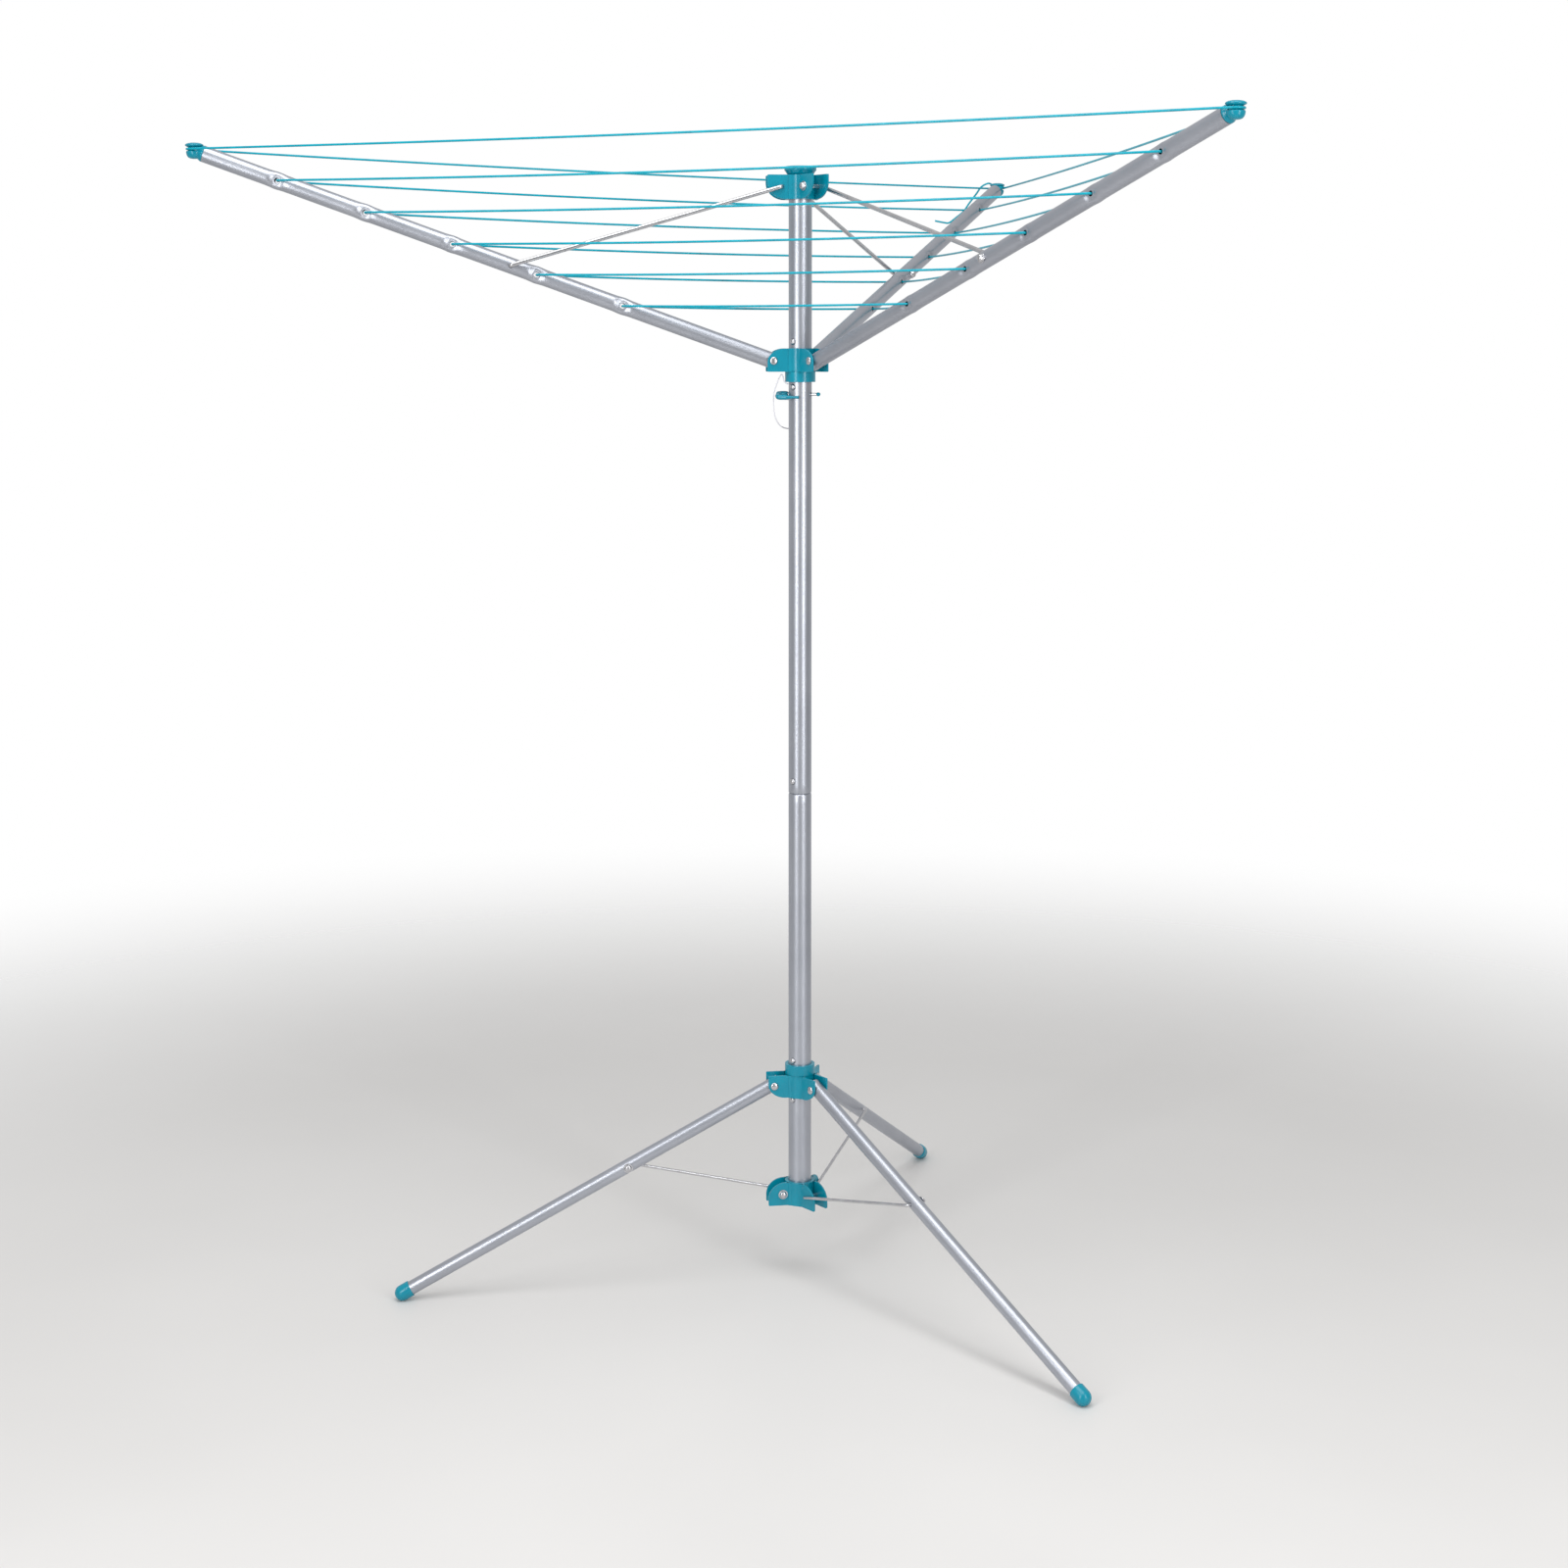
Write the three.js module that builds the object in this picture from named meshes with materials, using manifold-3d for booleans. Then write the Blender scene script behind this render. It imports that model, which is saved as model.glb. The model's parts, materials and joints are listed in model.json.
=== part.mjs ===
import * as THREE from "three";
import { mergeVertices } from "three/addons/utils/BufferGeometryUtils.js";
import Module from "manifold-3d";

const wasm = await Module();
wasm.setup();

// Three-arm rotary airer on a tripod. Millimetres, +Z up, origin on the floor on the mast axis.
// Arm and leg 1 point to 180 degrees, 2 to 300 degrees, 3 to 60 degrees.
const SPOKES = [180, 300, 60];
const HEAD_TURN = -3.1;

// mast
const MAST_R = 16;
const WALL = 1.2;
const MAST_FOOT = 113.8;
const JOINT_Z = 699;
const SPIGOT_R = 14.5;
const SPIGOT_TOP = 760;
const GROOVE_R = 10.8;
const MAST_HEAD = 1554.6;

// hubs
const COLLAR_R = 21;
const BORE_R = 16.4;
const RELIEF_R = 19.3;
const EAR_REACH = 46.5;
const EAR_T = 2.5;
const EAR_FILLET = 8;
const SLIDE_HUB_H = 32;
const SLIDE_RING_H = 14;
const SLIDE_PIVOT_Z = 15;
const END_HUB_H = 33;
const END_PIVOT_Z = 16;
const PIVOT_X = 38;
const STAY_PIVOT_X = 26;
const ARM_HUB_FLAT_Z = 1287;
const LEG_HUB_FLAT_Z = 298;
const BOTTOM_HUB_FLAT_Z = 110;
const TOP_HUB_FLAT_Z = 1555;

// arms
const ARM_R = 11;
const ARM_TIP_X = 814;
const ARM_TIP_Z = 1582;
const ARM_GAP = 23;
const EYELETS = [0.266, 0.416, 0.562, 0.711, 0.86];
const EYELET_HOLE_R = 3.4;
const PINCH = [8.4, 12];
const ARM_JOINT = 380;
const ARM_STAY_R = 3;

// legs
const LEG_R = 9.5;
const FOOT_X = 560;
const FOOT_R = 11;
const FOOT_FLAT = 0.8;
const LEG_GAP = 20;
const LEG_JOINT = 234;
const LEG_STAY_R = 2.1;

// line, tether, locking pin and buttons
const LINE_R = 1.5;
const TETHER_R = 0.9;
const PIN_Z = 1256;
const PIN_TURN = 158.7;
const BUTTON_TURN = 223.7;
const BUTTON_R = 4;

const materials = {
  aluminium: { color: 0xb9bcc2, roughness: 0.38, metalness: 0.9 },
  teal: { color: 0x077f94, roughness: 0.45, metalness: 0 },
  steel: { color: 0xc9cacc, roughness: 0.22, metalness: 1 },
  line: { color: 0x0a7d8c, roughness: 0.4, metalness: 0 },
  cord: { color: 0xf0eef2, roughness: 0.8, metalness: 0 },
};
const group = new THREE.Group();

const v2 = (x, y) => new THREE.Vector2(x, y);
const v3 = (x, y, z) => new THREE.Vector3(x, y, z);
const rad = THREE.MathUtils.degToRad;

// ---- solids ----

function solid(geometry) {
  const soup = geometry.index ? geometry.toNonIndexed() : geometry;
  const bare = new THREE.BufferGeometry();
  bare.setAttribute("position", soup.getAttribute("position").clone());
  const merged = mergeVertices(bare, 1e-3);
  const kept = [];
  const index = merged.index.array;
  for (let i = 0; i < index.length; i += 3) {
    const [a, b, c] = [index[i], index[i + 1], index[i + 2]];
    if (a !== b && b !== c && c !== a) {
      kept.push(a, b, c);
    }
  }
  const made = new wasm.Manifold(
    new wasm.Mesh({
      numProp: 3,
      vertProperties: merged.attributes.position.array,
      triVerts: new Uint32Array(kept),
    }),
  );
  return made;
}

function geometryOf(made) {
  const mesh = made.getMesh();
  const geometry = new THREE.BufferGeometry();
  geometry.setAttribute("position", new THREE.BufferAttribute(mesh.vertProperties, 3));
  geometry.setIndex(new THREE.BufferAttribute(mesh.triVerts, 1));
  const flat = geometry.toNonIndexed();
  flat.computeVertexNormals();
  return flat;
}

const join = (...all) => all.reduce((a, b) => a.add(b));
const cut = (body, ...tools) => tools.reduce((a, b) => a.subtract(b), body);
const placed = (made, matrix) => made.transform(matrix.elements);

function add(name, made, kind) {
  const material = new THREE.MeshStandardMaterial(materials[kind]);
  const mesh = new THREE.Mesh(geometryOf(made), material);
  mesh.name = name;
  group.add(mesh);
}

// a solid of revolution about Z from [radius, height] pairs
function turned(profile, sides = 24) {
  const geometry = new THREE.LatheGeometry(profile.map(([r, z]) => v2(r, z)), sides);
  return solid(geometry.rotateX(Math.PI / 2));
}

// the same about Y, heights running along +Y
function turnedAcross(profile, sides = 10) {
  return solid(new THREE.LatheGeometry(profile.map(([r, y]) => v2(r, y)), sides));
}

function rodZ(r, z0, z1, sides = 24) {
  return turned([[0, z0], [r, z0], [r, z1], [0, z1]], sides);
}

function rodY(r, y0, y1, sides = 16) {
  return turnedAcross([[0, y0], [r, y0], [r, y1], [0, y1]], sides);
}

function block(x0, x1, y0, y1, z0, z1) {
  const geometry = new THREE.BoxGeometry(x1 - x0, y1 - y0, z1 - z0);
  geometry.translate((x0 + x1) / 2, (y0 + y1) / 2, (z0 + z1) / 2);
  return solid(geometry);
}

// a side view in X and Z, given a width across Y
function slab(points, width) {
  const shape = new THREE.Shape(points.map(([x, z]) => v2(x, z)));
  const geometry = new THREE.ExtrudeGeometry(shape, { depth: width, bevelEnabled: false });
  geometry.rotateX(Math.PI / 2);
  geometry.translate(0, width / 2, 0);
  return solid(geometry);
}

// ---- bent rods and cords ----

class Route extends THREE.Curve {
  constructor(points) {
    super();
    this.points = points;
  }
  getPoint(t) {
    const at = t * (this.points.length - 1);
    const i = Math.min(Math.floor(at), this.points.length - 2);
    return this.points[i].clone().lerp(this.points[i + 1], at - i);
  }
  getTangent(t) {
    const last = this.points.length - 1;
    const i = Math.round(t * last);
    const sum = v3(0, 0, 0);
    if (i > 0) {
      sum.add(this.points[i].clone().sub(this.points[i - 1]).normalize());
    }
    if (i < last) {
      sum.add(this.points[i + 1].clone().sub(this.points[i]).normalize());
    }
    return sum.normalize();
  }
  getUtoTmapping(u) {
    return u;
  }
}

// rounds every corner of a polyline
function softened(points, radius, steps = 3) {
  const out = [points[0]];
  for (let i = 1; i < points.length - 1; i += 1) {
    const back = points[i - 1].clone().sub(points[i]);
    const ahead = points[i + 1].clone().sub(points[i]);
    const turn = Math.PI - back.angleTo(ahead);
    const wanted = radius * Math.tan(turn / 2);
    const run = Math.min(wanted, back.length() * 0.45, ahead.length() * 0.45);
    if (turn < rad(4)) {
      out.push(points[i]);
      continue;
    }
    const from = points[i].clone().addScaledVector(back.normalize(), run);
    const to = points[i].clone().addScaledVector(ahead.normalize(), run);
    const bend = new THREE.QuadraticBezierCurve3(from, points[i], to);
    out.push(...bend.getPoints(steps));
  }
  out.push(points[points.length - 1]);
  return out;
}

function swept(points, r, sides = 8) {
  const ring = [];
  for (let i = 0; i < sides; i += 1) {
    const a = (2 * Math.PI * i) / sides;
    ring.push(v2(r * Math.cos(a), r * Math.sin(a)));
  }
  const path = new Route(points);
  const options = { steps: points.length - 1, bevelEnabled: false, extrudePath: path };
  return solid(new THREE.ExtrudeGeometry(new THREE.Shape(ring), options));
}

// ---- frames ----

const arm = { x: PIVOT_X, z: ARM_HUB_FLAT_Z + SLIDE_PIVOT_Z };
arm.angle = Math.atan2(ARM_TIP_Z - arm.z, ARM_TIP_X - arm.x);
arm.length = Math.hypot(ARM_TIP_Z - arm.z, ARM_TIP_X - arm.x);
arm.jointX = arm.x + ARM_JOINT * Math.cos(arm.angle);
arm.jointZ = arm.z + ARM_JOINT * Math.sin(arm.angle);

const leg = { x: PIVOT_X, z: LEG_HUB_FLAT_Z - SLIDE_PIVOT_Z };
const footZ = FOOT_R - FOOT_FLAT;
leg.angle = Math.atan2(footZ - leg.z, FOOT_X - leg.x);
leg.length = Math.hypot(footZ - leg.z, FOOT_X - leg.x);
leg.jointX = leg.x + LEG_JOINT * Math.cos(leg.angle);
leg.jointZ = leg.z + LEG_JOINT * Math.sin(leg.angle);

const topStayZ = TOP_HUB_FLAT_Z - END_PIVOT_Z;
const bottomStayZ = BOTTOM_HUB_FLAT_Z + END_PIVOT_Z;

const turnZ = (degrees) => new THREE.Matrix4().makeRotationZ(rad(degrees));
const lift = (z) => new THREE.Matrix4().makeTranslation(0, 0, z);
const flip = new THREE.Matrix4().makeRotationX(Math.PI);
const head = turnZ(HEAD_TURN);

// from "x along the tube, y to the left, z up across it" to the spoke's own upright frame
function tilted(x, z, angle) {
  const turn = new THREE.Matrix4().makeRotationY(-angle);
  return new THREE.Matrix4().makeTranslation(x, 0, z).multiply(turn);
}

// ---- hubs ----

// outline from above: a round collar with a lug of half-width e towards each spoke
function hubOutline(e) {
  const points = [];
  const reach = 21.5;
  const fy = e + EAR_FILLET;
  const fx = Math.sqrt((COLLAR_R + EAR_FILLET) ** 2 - fy ** 2);
  const split = Math.atan2(fy, fx);
  const put = (x, y, spoke) => points.push(v2(x, y).rotateAround(v2(0, 0), rad(spoke)));
  for (const spoke of [60, 180, 300]) {
    for (let i = 0; i <= 2; i += 1) {
      const a = split - Math.PI + ((Math.PI / 2 - split) * i) / 2;
      put(fx + EAR_FILLET * Math.cos(a), -fy - EAR_FILLET * Math.sin(a), spoke);
    }
    put(reach, -e, spoke);
    put(reach, e, spoke);
    for (let i = 2; i >= 0; i -= 1) {
      const a = split - Math.PI + ((Math.PI / 2 - split) * i) / 2;
      put(fx + EAR_FILLET * Math.cos(a), fy + EAR_FILLET * Math.sin(a), spoke);
    }
    put(COLLAR_R * Math.cos(rad(60)), COLLAR_R * Math.sin(rad(60)), spoke);
  }
  return points;
}

// side view of an ear: flat at z = 0, a quarter-oval shoulder up to the height h
function earSide(h, shoulderZ) {
  const points = [[14, 0], [EAR_REACH - 1.5, 0], [EAR_REACH, 1.5]];
  for (let i = 0; i <= 5; i += 1) {
    const a = (Math.PI / 2) * (i / 5);
    const x = 21.5 + (EAR_REACH - 21.5) * Math.cos(a);
    points.push([x, shoulderZ + (h - shoulderZ) * Math.sin(a)]);
  }
  points.push([14, h]);
  return points;
}

// six ears round a collar, flat face at z = 0 and shoulders up; holes for the pivots
function hub({ gap, h, shoulderZ, pivotX, pivotZ, holeR }) {
  const e = gap / 2 + EAR_T;
  const shape = new THREE.Shape(hubOutline(e));
  const core = solid(new THREE.ExtrudeGeometry(shape, { depth: h, bevelEnabled: false }));
  const collar = rodZ(COLLAR_R, 0, h, 24);
  const lugs = [];
  const slots = [];
  const bores = [];
  for (const spoke of SPOKES) {
    const turn = turnZ(spoke);
    lugs.push(placed(slab(earSide(h, shoulderZ), 2 * e), turn));
    slots.push(placed(block(5, 60, -gap / 2, gap / 2, -1, h + 1), turn));
    const bore = rodY(holeR, -e - 1, e + 1, 8);
    const at = new THREE.Matrix4().makeTranslation(pivotX, 0, pivotZ);
    bores.push(placed(bore, turn.clone().multiply(at)));
  }
  const body = cut(join(core, ...lugs), ...slots);
  return cut(join(body, collar), ...bores);
}

// the sliding hub: a plain ring below its flat face, and a relieved bore with a land at each end
function slideHub(gap, holeR) {
  const h = SLIDE_HUB_H;
  const made = hub({ gap, h, shoulderZ: 13, pivotX: PIVOT_X, pivotZ: SLIDE_PIVOT_Z, holeR });
  const ring = turned(
    [[0, -SLIDE_RING_H], [COLLAR_R - 0.6, -SLIDE_RING_H], [COLLAR_R, -SLIDE_RING_H + 0.6],
      [COLLAR_R, 0.5], [0, 0.5]],
    24,
  );
  const bore = turned(
    [[0, -20], [BORE_R, -20], [BORE_R, -9], [RELIEF_R, -6], [RELIEF_R, 23], [BORE_R, 26],
      [BORE_R, 40], [0, 40]],
    24,
  );
  return cut(join(made, ring), bore);
}

function endHub(gap, holeR, floor) {
  const h = END_HUB_H;
  const made = hub({ gap, h, shoulderZ: 10, pivotX: STAY_PIVOT_X, pivotZ: END_PIVOT_Z, holeR });
  const bored = cut(made, rodZ(BORE_R, floor, h + 5, 24));
  return floor > 0 ? join(bored, rodZ(12, -1.5, 0.5, 24)) : bored;
}

// ---- small hardware, all lying along Y ----

// a rivet through both ears, domed at both ends
function rivet(r, e) {
  const y = e + 0.15;
  const dome = [[0, y + 2.4], [3.6, y + 1.9], [5.5, y], [r, y]];
  const mirror = dome.map(([a, b]) => [a, -b]);
  return turnedAcross([...mirror, ...dome.reverse()]);
}

// a domed push nut standing on the plane y, with a blind hole for the rod's end
function domeNut(y, rodR) {
  const hole = rodR + 0.2;
  const profile = [[hole, y], [6.6, y], [6.6, y + 0.9], [5.2, y + 1], [4.4, y + 4],
    [0, y + 5.6], [0, y + 3.6], [hole, y + 3.6], [hole, y]];
  return turnedAcross(profile);
}

// a domed nut with its shank through a tube of radius r, the shank's far end level with the tube
function domePin(r, rodR) {
  const y = r + 0.15;
  const profile = [[0, -r], [rodR, -r], [rodR, y], [6.6, y], [6.6, y + 0.9], [5.2, y + 1],
    [4.4, y + 4], [0, y + 5.6]];
  return turnedAcross(profile);
}

const mirrorY = new THREE.Matrix4().makeRotationZ(Math.PI);

// ---- tubes ----

// a hollow round or pinched tube along X, from [x, half-width, half-height] stations
function pinchedTube(stations, wall, sides) {
  const ring = (x, ry, rz) => {
    const points = [];
    for (let i = 0; i < sides; i += 1) {
      const a = (2 * Math.PI * i) / sides;
      points.push([x, ry * Math.cos(a), rz * Math.sin(a)]);
    }
    return points;
  };
  const outer = stations.map(([x, ry, rz]) => ring(x, ry, rz));
  const inner = stations.map(([x, ry, rz]) => ring(x, ry - wall, rz - wall)).reverse();
  const rings = [...outer, ...inner];
  const index = [];
  for (let k = 0; k < rings.length; k += 1) {
    const next = ((k + 1) % rings.length) * sides;
    for (let i = 0; i < sides; i += 1) {
      const j = (i + 1) % sides;
      const [a, b, c, d] = [k * sides + i, k * sides + j, next + j, next + i];
      index.push(a, b, c, a, c, d);
    }
  }
  const geometry = new THREE.BufferGeometry();
  const flat = new Float32Array(rings.flat(2));
  geometry.setAttribute("position", new THREE.BufferAttribute(flat, 3));
  geometry.setIndex(index);
  return solid(geometry);
}

// ---- mast ----

const s = SPIGOT_R;
const lowerProfile = [
  [MAST_R, MAST_FOOT], [MAST_R, JOINT_Z - 1.6], [s, JOINT_Z + 0.4], [s, 708], [GROOVE_R, 711.5],
  [GROOVE_R, 722.5], [s, 726], [s, SPIGOT_TOP], [s - WALL, SPIGOT_TOP], [s - WALL, 726.6],
  [GROOVE_R - WALL, 723.1], [GROOVE_R - WALL, 710.9], [s - WALL, 707.4], [s - WALL, 698.6],
  [MAST_R - WALL, JOINT_Z - 2.2], [MAST_R - WALL, MAST_FOOT], [MAST_R, MAST_FOOT],
];
const upperProfile = [
  [MAST_R - WALL, JOINT_Z + 0.8], [MAST_R - 0.7, JOINT_Z + 0.8], [MAST_R, JOINT_Z + 1.6],
  [MAST_R, MAST_HEAD], [MAST_R - WALL, MAST_HEAD], [MAST_R - WALL, JOINT_Z + 0.8],
];

const BUTTONS = [
  { name: "leg_hub_lower_button", z: 262 },
  { name: "leg_hub_upper_button", z: 318 },
  { name: "mast_joint_button", z: 717 },
  { name: "arm_hub_lower_button", z: 1266 },
  { name: "arm_hub_upper_button", z: 1328 },
];

function across(r, z, turn, x0, x1, sides = 16) {
  const rod = turned([[0, x0], [r, x0], [r, x1], [0, x1]], sides);
  const lay = new THREE.Matrix4().makeRotationY(Math.PI / 2);
  return placed(rod, turnZ(turn).premultiply(lift(z)).multiply(lay));
}

let lowerMast = turned(lowerProfile, 24);
let upperMast = placed(turned(upperProfile, 24), head);
for (const { z } of BUTTONS) {
  const inHead = z > JOINT_Z;
  const turn = BUTTON_TURN + HEAD_TURN;
  const hole = across(BUTTON_R + 0.4, z, turn, 12, 20);
  if (inHead) {
    upperMast = cut(upperMast, hole);
  } else {
    lowerMast = cut(lowerMast, hole);
  }
}
upperMast = cut(upperMast, across(3.1, PIN_Z, PIN_TURN + HEAD_TURN, -20, 20));
add("lower_mast_tube", lowerMast, "aluminium");
add("upper_mast_tube", upperMast, "aluminium");

const capProfile = [[0, 1540], [14.4, 1540], [14.4, TOP_HUB_FLAT_Z + 0.4], [17, TOP_HUB_FLAT_Z + 0.4],
  [20, 1559.5], [22, 1561.5], [22, 1565.5], [20.5, 1567], [0, 1567.4]];
add("mast_top_cap", placed(turned(capProfile, 24), head), "teal");

// ---- hubs in place ----

const holeFor = (r) => r + 0.5;
add("arm_hub", placed(slideHub(ARM_GAP, holeFor(3)), head.clone().premultiply(lift(ARM_HUB_FLAT_Z))),
  "teal");
add("leg_hub", placed(slideHub(LEG_GAP, holeFor(3)), lift(LEG_HUB_FLAT_Z).multiply(flip)), "teal");
add("bottom_hub", placed(endHub(LEG_GAP, holeFor(LEG_STAY_R), 3.5), lift(BOTTOM_HUB_FLAT_Z)), "teal");
const topHub = endHub(ARM_GAP, holeFor(ARM_STAY_R), -5);
add("top_hub", placed(topHub, head.clone().premultiply(lift(TOP_HUB_FLAT_Z)).multiply(flip)), "teal");

// ---- snap buttons: a domed stud on a bent leaf inside the tube ----

// a thin leaf of even thickness along a bent line, seen from the side
function leafSide(line, t) {
  const left = [];
  const right = [];
  line.forEach((p, i) => {
    const before = line[Math.max(i - 1, 0)];
    const after = line[Math.min(i + 1, line.length - 1)];
    const along = v2(after[0] - before[0], after[1] - before[1]).normalize();
    left.push([p[0] - (along.y * t) / 2, p[1] + (along.x * t) / 2]);
    right.push([p[0] + (along.y * t) / 2, p[1] - (along.x * t) / 2]);
  });
  return [...left, ...right.reverse()];
}

for (const { name, z } of BUTTONS) {
  const joint = name === "mast_joint_button";
  const foot = joint ? 12.8 : 12.6;
  const step = joint ? 13.6 : 14.1;
  const stud = turned(
    [[0, foot], [joint ? 4.9 : 3.8, foot], [joint ? 4.9 : 3.8, step], [BUTTON_R, step],
      [BUTTON_R, 16.9], [3, 18.3], [0, 18.9]],
    12,
  );
  const lay = new THREE.Matrix4().makeRotationY(Math.PI / 2);
  const leaf = slab(leafSide([[12.9, -4.6], [12.9, 5], [0, 33], [-10.4, 28]], 0.8), 7);
  const made = joint ? placed(stud, lay) : join(placed(stud, lay), leaf);
  const turn = turnZ(BUTTON_TURN + HEAD_TURN);
  add(name, placed(made, turn.premultiply(lift(z))), "steel");
}

// ---- legs ----

SPOKES.forEach((spoke, n) => {
  const id = n + 1;
  const turn = turnZ(spoke);
  const e = LEG_GAP / 2 + EAR_T;
  const along = turn.clone().multiply(tilted(leg.x, leg.z, leg.angle));
  const stations = [[-9, LEG_R, LEG_R], [leg.length - 1.4, LEG_R, LEG_R]];
  const hole = (x, r) => placed(rodY(r, -20, 20, 8), new THREE.Matrix4().makeTranslation(x, 0, 0));
  let tube = pinchedTube(stations, WALL, 14);
  tube = cut(tube, hole(0, 3.6), hole(LEG_JOINT, holeFor(LEG_STAY_R)));
  add(`leg_${id}_tube`, placed(tube, along), "aluminium");

  const rim = leg.length - 13;
  const bootProfile = [[LEG_R + 0.25, rim], [FOOT_R - 0.4, rim], [FOOT_R, rim + 0.5], [FOOT_R, leg.length]];
  for (let i = 1; i <= 4; i += 1) {
    const a = (Math.PI / 2) * (i / 4);
    bootProfile.push([FOOT_R * Math.cos(a), leg.length + FOOT_R * Math.sin(a)]);
  }
  bootProfile.push([0, leg.length - 1], [LEG_R + 0.25, leg.length - 1], [LEG_R + 0.25, rim]);
  const lay = new THREE.Matrix4().makeRotationY(Math.PI / 2);
  const boot = placed(turned(bootProfile, 16), along.clone().multiply(lay));
  add(`foot_cap_${id}`, cut(boot, block(-900, 900, -900, 900, -50, 0)), "teal");

  const pivot = turn.clone().multiply(new THREE.Matrix4().makeTranslation(leg.x, 0, leg.z));
  add(`leg_${id}_pivot_rivet`, placed(rivet(3, e), pivot), "steel");

  const y = -e - 0.3 - LEG_STAY_R;
  const rod = softened(
    [v3(STAY_PIVOT_X, e + 3.2, bottomStayZ), v3(STAY_PIVOT_X, y, bottomStayZ),
      v3(leg.jointX, y, leg.jointZ), v3(leg.jointX, -LEG_R - 0.35, leg.jointZ)],
    3.2, 3,
  );
  add(`leg_stay_${id}`, placed(swept(rod, LEG_STAY_R, 8), turn), "steel");
  const nutAt = turn.clone().multiply(new THREE.Matrix4().makeTranslation(STAY_PIVOT_X, 0, bottomStayZ));
  add(`leg_stay_${id}_hub_nut`, placed(domeNut(e + 0.15, LEG_STAY_R), nutAt), "steel");
  const pin = placed(domePin(LEG_R, LEG_STAY_R), new THREE.Matrix4().makeTranslation(LEG_JOINT, 0, 0));
  add(`leg_stay_${id}_leg_pin`, placed(pin, along), "steel");
});

// ---- arms ----

const tipProfile = [[0, -11], [5.5, -10.6], [8.8, -8.6], [10.6, -5], [10.8, -1.6], [8, -0.4],
  [8, 4.3], [12, 6.3], [12, 7.8], [9, 9.6], [0, 10.5]];
const GROOVE_Z = 1.95;
const WRAP_R = 9.9;

// where the line runs through arm 3: out of the tube's end and round the tip's groove
function wrapFrom(start, end, step) {
  const points = [];
  const count = Math.round((end - start) / step);
  for (let i = 0; i <= count; i += 1) {
    const a = rad(start + ((end - start) * i) / count);
    points.push(v3(arm.x + arm.length * Math.cos(arm.angle) + WRAP_R * Math.cos(a),
      WRAP_R * Math.sin(a), ARM_TIP_Z + GROOVE_Z));
  }
  return points;
}

const alongArm = (d, y) => v3(d, y, 0).applyMatrix4(tilted(arm.x, arm.z, arm.angle));
const out = [alongArm(arm.length - 30, 0), alongArm(arm.length - 17, 0),
  v3(ARM_TIP_X - 12.4, -4.2, ARM_TIP_Z - 0.6), ...wrapFrom(-125, 60, 26)];
const channel = swept(softened(out.slice(0, 6), 3, 1), LINE_R + 0.5, 6);

SPOKES.forEach((spoke, n) => {
  const id = n + 1;
  const turn = turnZ(spoke).premultiply(head);
  const e = ARM_GAP / 2 + EAR_T;
  const along = turn.clone().multiply(tilted(arm.x, arm.z, arm.angle));
  const stations = [[-10, ARM_R, ARM_R]];
  for (const share of EYELETS) {
    const d = share * arm.length;
    stations.push([d - 13, ARM_R, ARM_R], [d, ...PINCH], [d + 13, ARM_R, ARM_R]);
  }
  stations.push([arm.length - 13, ARM_R, ARM_R]);
  let tube = pinchedTube(stations, WALL, 12);
  const hole = (d, r, n = 6) => placed(rodY(r, -20, 20, n), new THREE.Matrix4().makeTranslation(d, 0, 0));
  tube = cut(tube, hole(0, 3.6, 8), hole(ARM_JOINT, holeFor(ARM_STAY_R), 8));
  tube = cut(tube, ...EYELETS.map((share) => hole(share * arm.length, EYELET_HOLE_R)));
  add(`arm_${id}_tube`, placed(tube, along), "aluminium");

  const lay = new THREE.Matrix4().makeRotationY(Math.PI / 2);
  const end = arm.length - 13;
  const plug = turned([[0, end - 12], [8.8, end - 12], [9.15, end - 11], [9.15, end + 0.3],
    [ARM_R, end + 0.3], [ARM_R, end + 2], [8, end + 8], [0, end + 8]], 14);
  const tip = placed(turned(tipProfile, 14), new THREE.Matrix4().makeTranslation(ARM_TIP_X, 0, ARM_TIP_Z));
  const shank = placed(plug, tilted(arm.x, arm.z, arm.angle).multiply(lay));
  const clear = turned([[WRAP_R - 1.9, -0.4], [15, -0.4], [15, 4.4], [WRAP_R - 1.9, 4.3],
    [WRAP_R - 1.9, -0.4]], 14);
  const groove = placed(clear, new THREE.Matrix4().makeTranslation(ARM_TIP_X, 0, ARM_TIP_Z));
  add(`arm_tip_cap_${id}`, placed(cut(join(shank, tip), groove, channel), turn), "teal");

  const pivot = turn.clone().multiply(new THREE.Matrix4().makeTranslation(arm.x, 0, arm.z));
  add(`arm_${id}_pivot_rivet`, placed(rivet(3, e), pivot), "steel");

  const y = e + 0.3 + ARM_STAY_R;
  const rod = softened(
    [v3(STAY_PIVOT_X, -e - 3.2, topStayZ), v3(STAY_PIVOT_X, y, topStayZ),
      v3(arm.jointX, y, arm.jointZ), v3(arm.jointX, ARM_R + 0.35, arm.jointZ)],
    4, 3,
  );
  add(`arm_stay_${id}`, placed(swept(rod, ARM_STAY_R, 8), turn), "steel");
  const nut = placed(domeNut(e + 0.15, ARM_STAY_R), mirrorY);
  const nutAt = turn.clone().multiply(new THREE.Matrix4().makeTranslation(STAY_PIVOT_X, 0, topStayZ));
  add(`arm_stay_${id}_hub_nut`, placed(nut, nutAt), "steel");
  const pin = placed(domePin(ARM_R, ARM_STAY_R), mirrorY);
  const pinAt = along.clone().multiply(new THREE.Matrix4().makeTranslation(ARM_JOINT, 0, 0));
  add(`arm_stay_${id}_arm_pin`, placed(pin, pinAt), "steel");
});

// ---- clothesline: one length, from a knot inside arm 3 outwards to the tip of arm 3 ----

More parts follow.
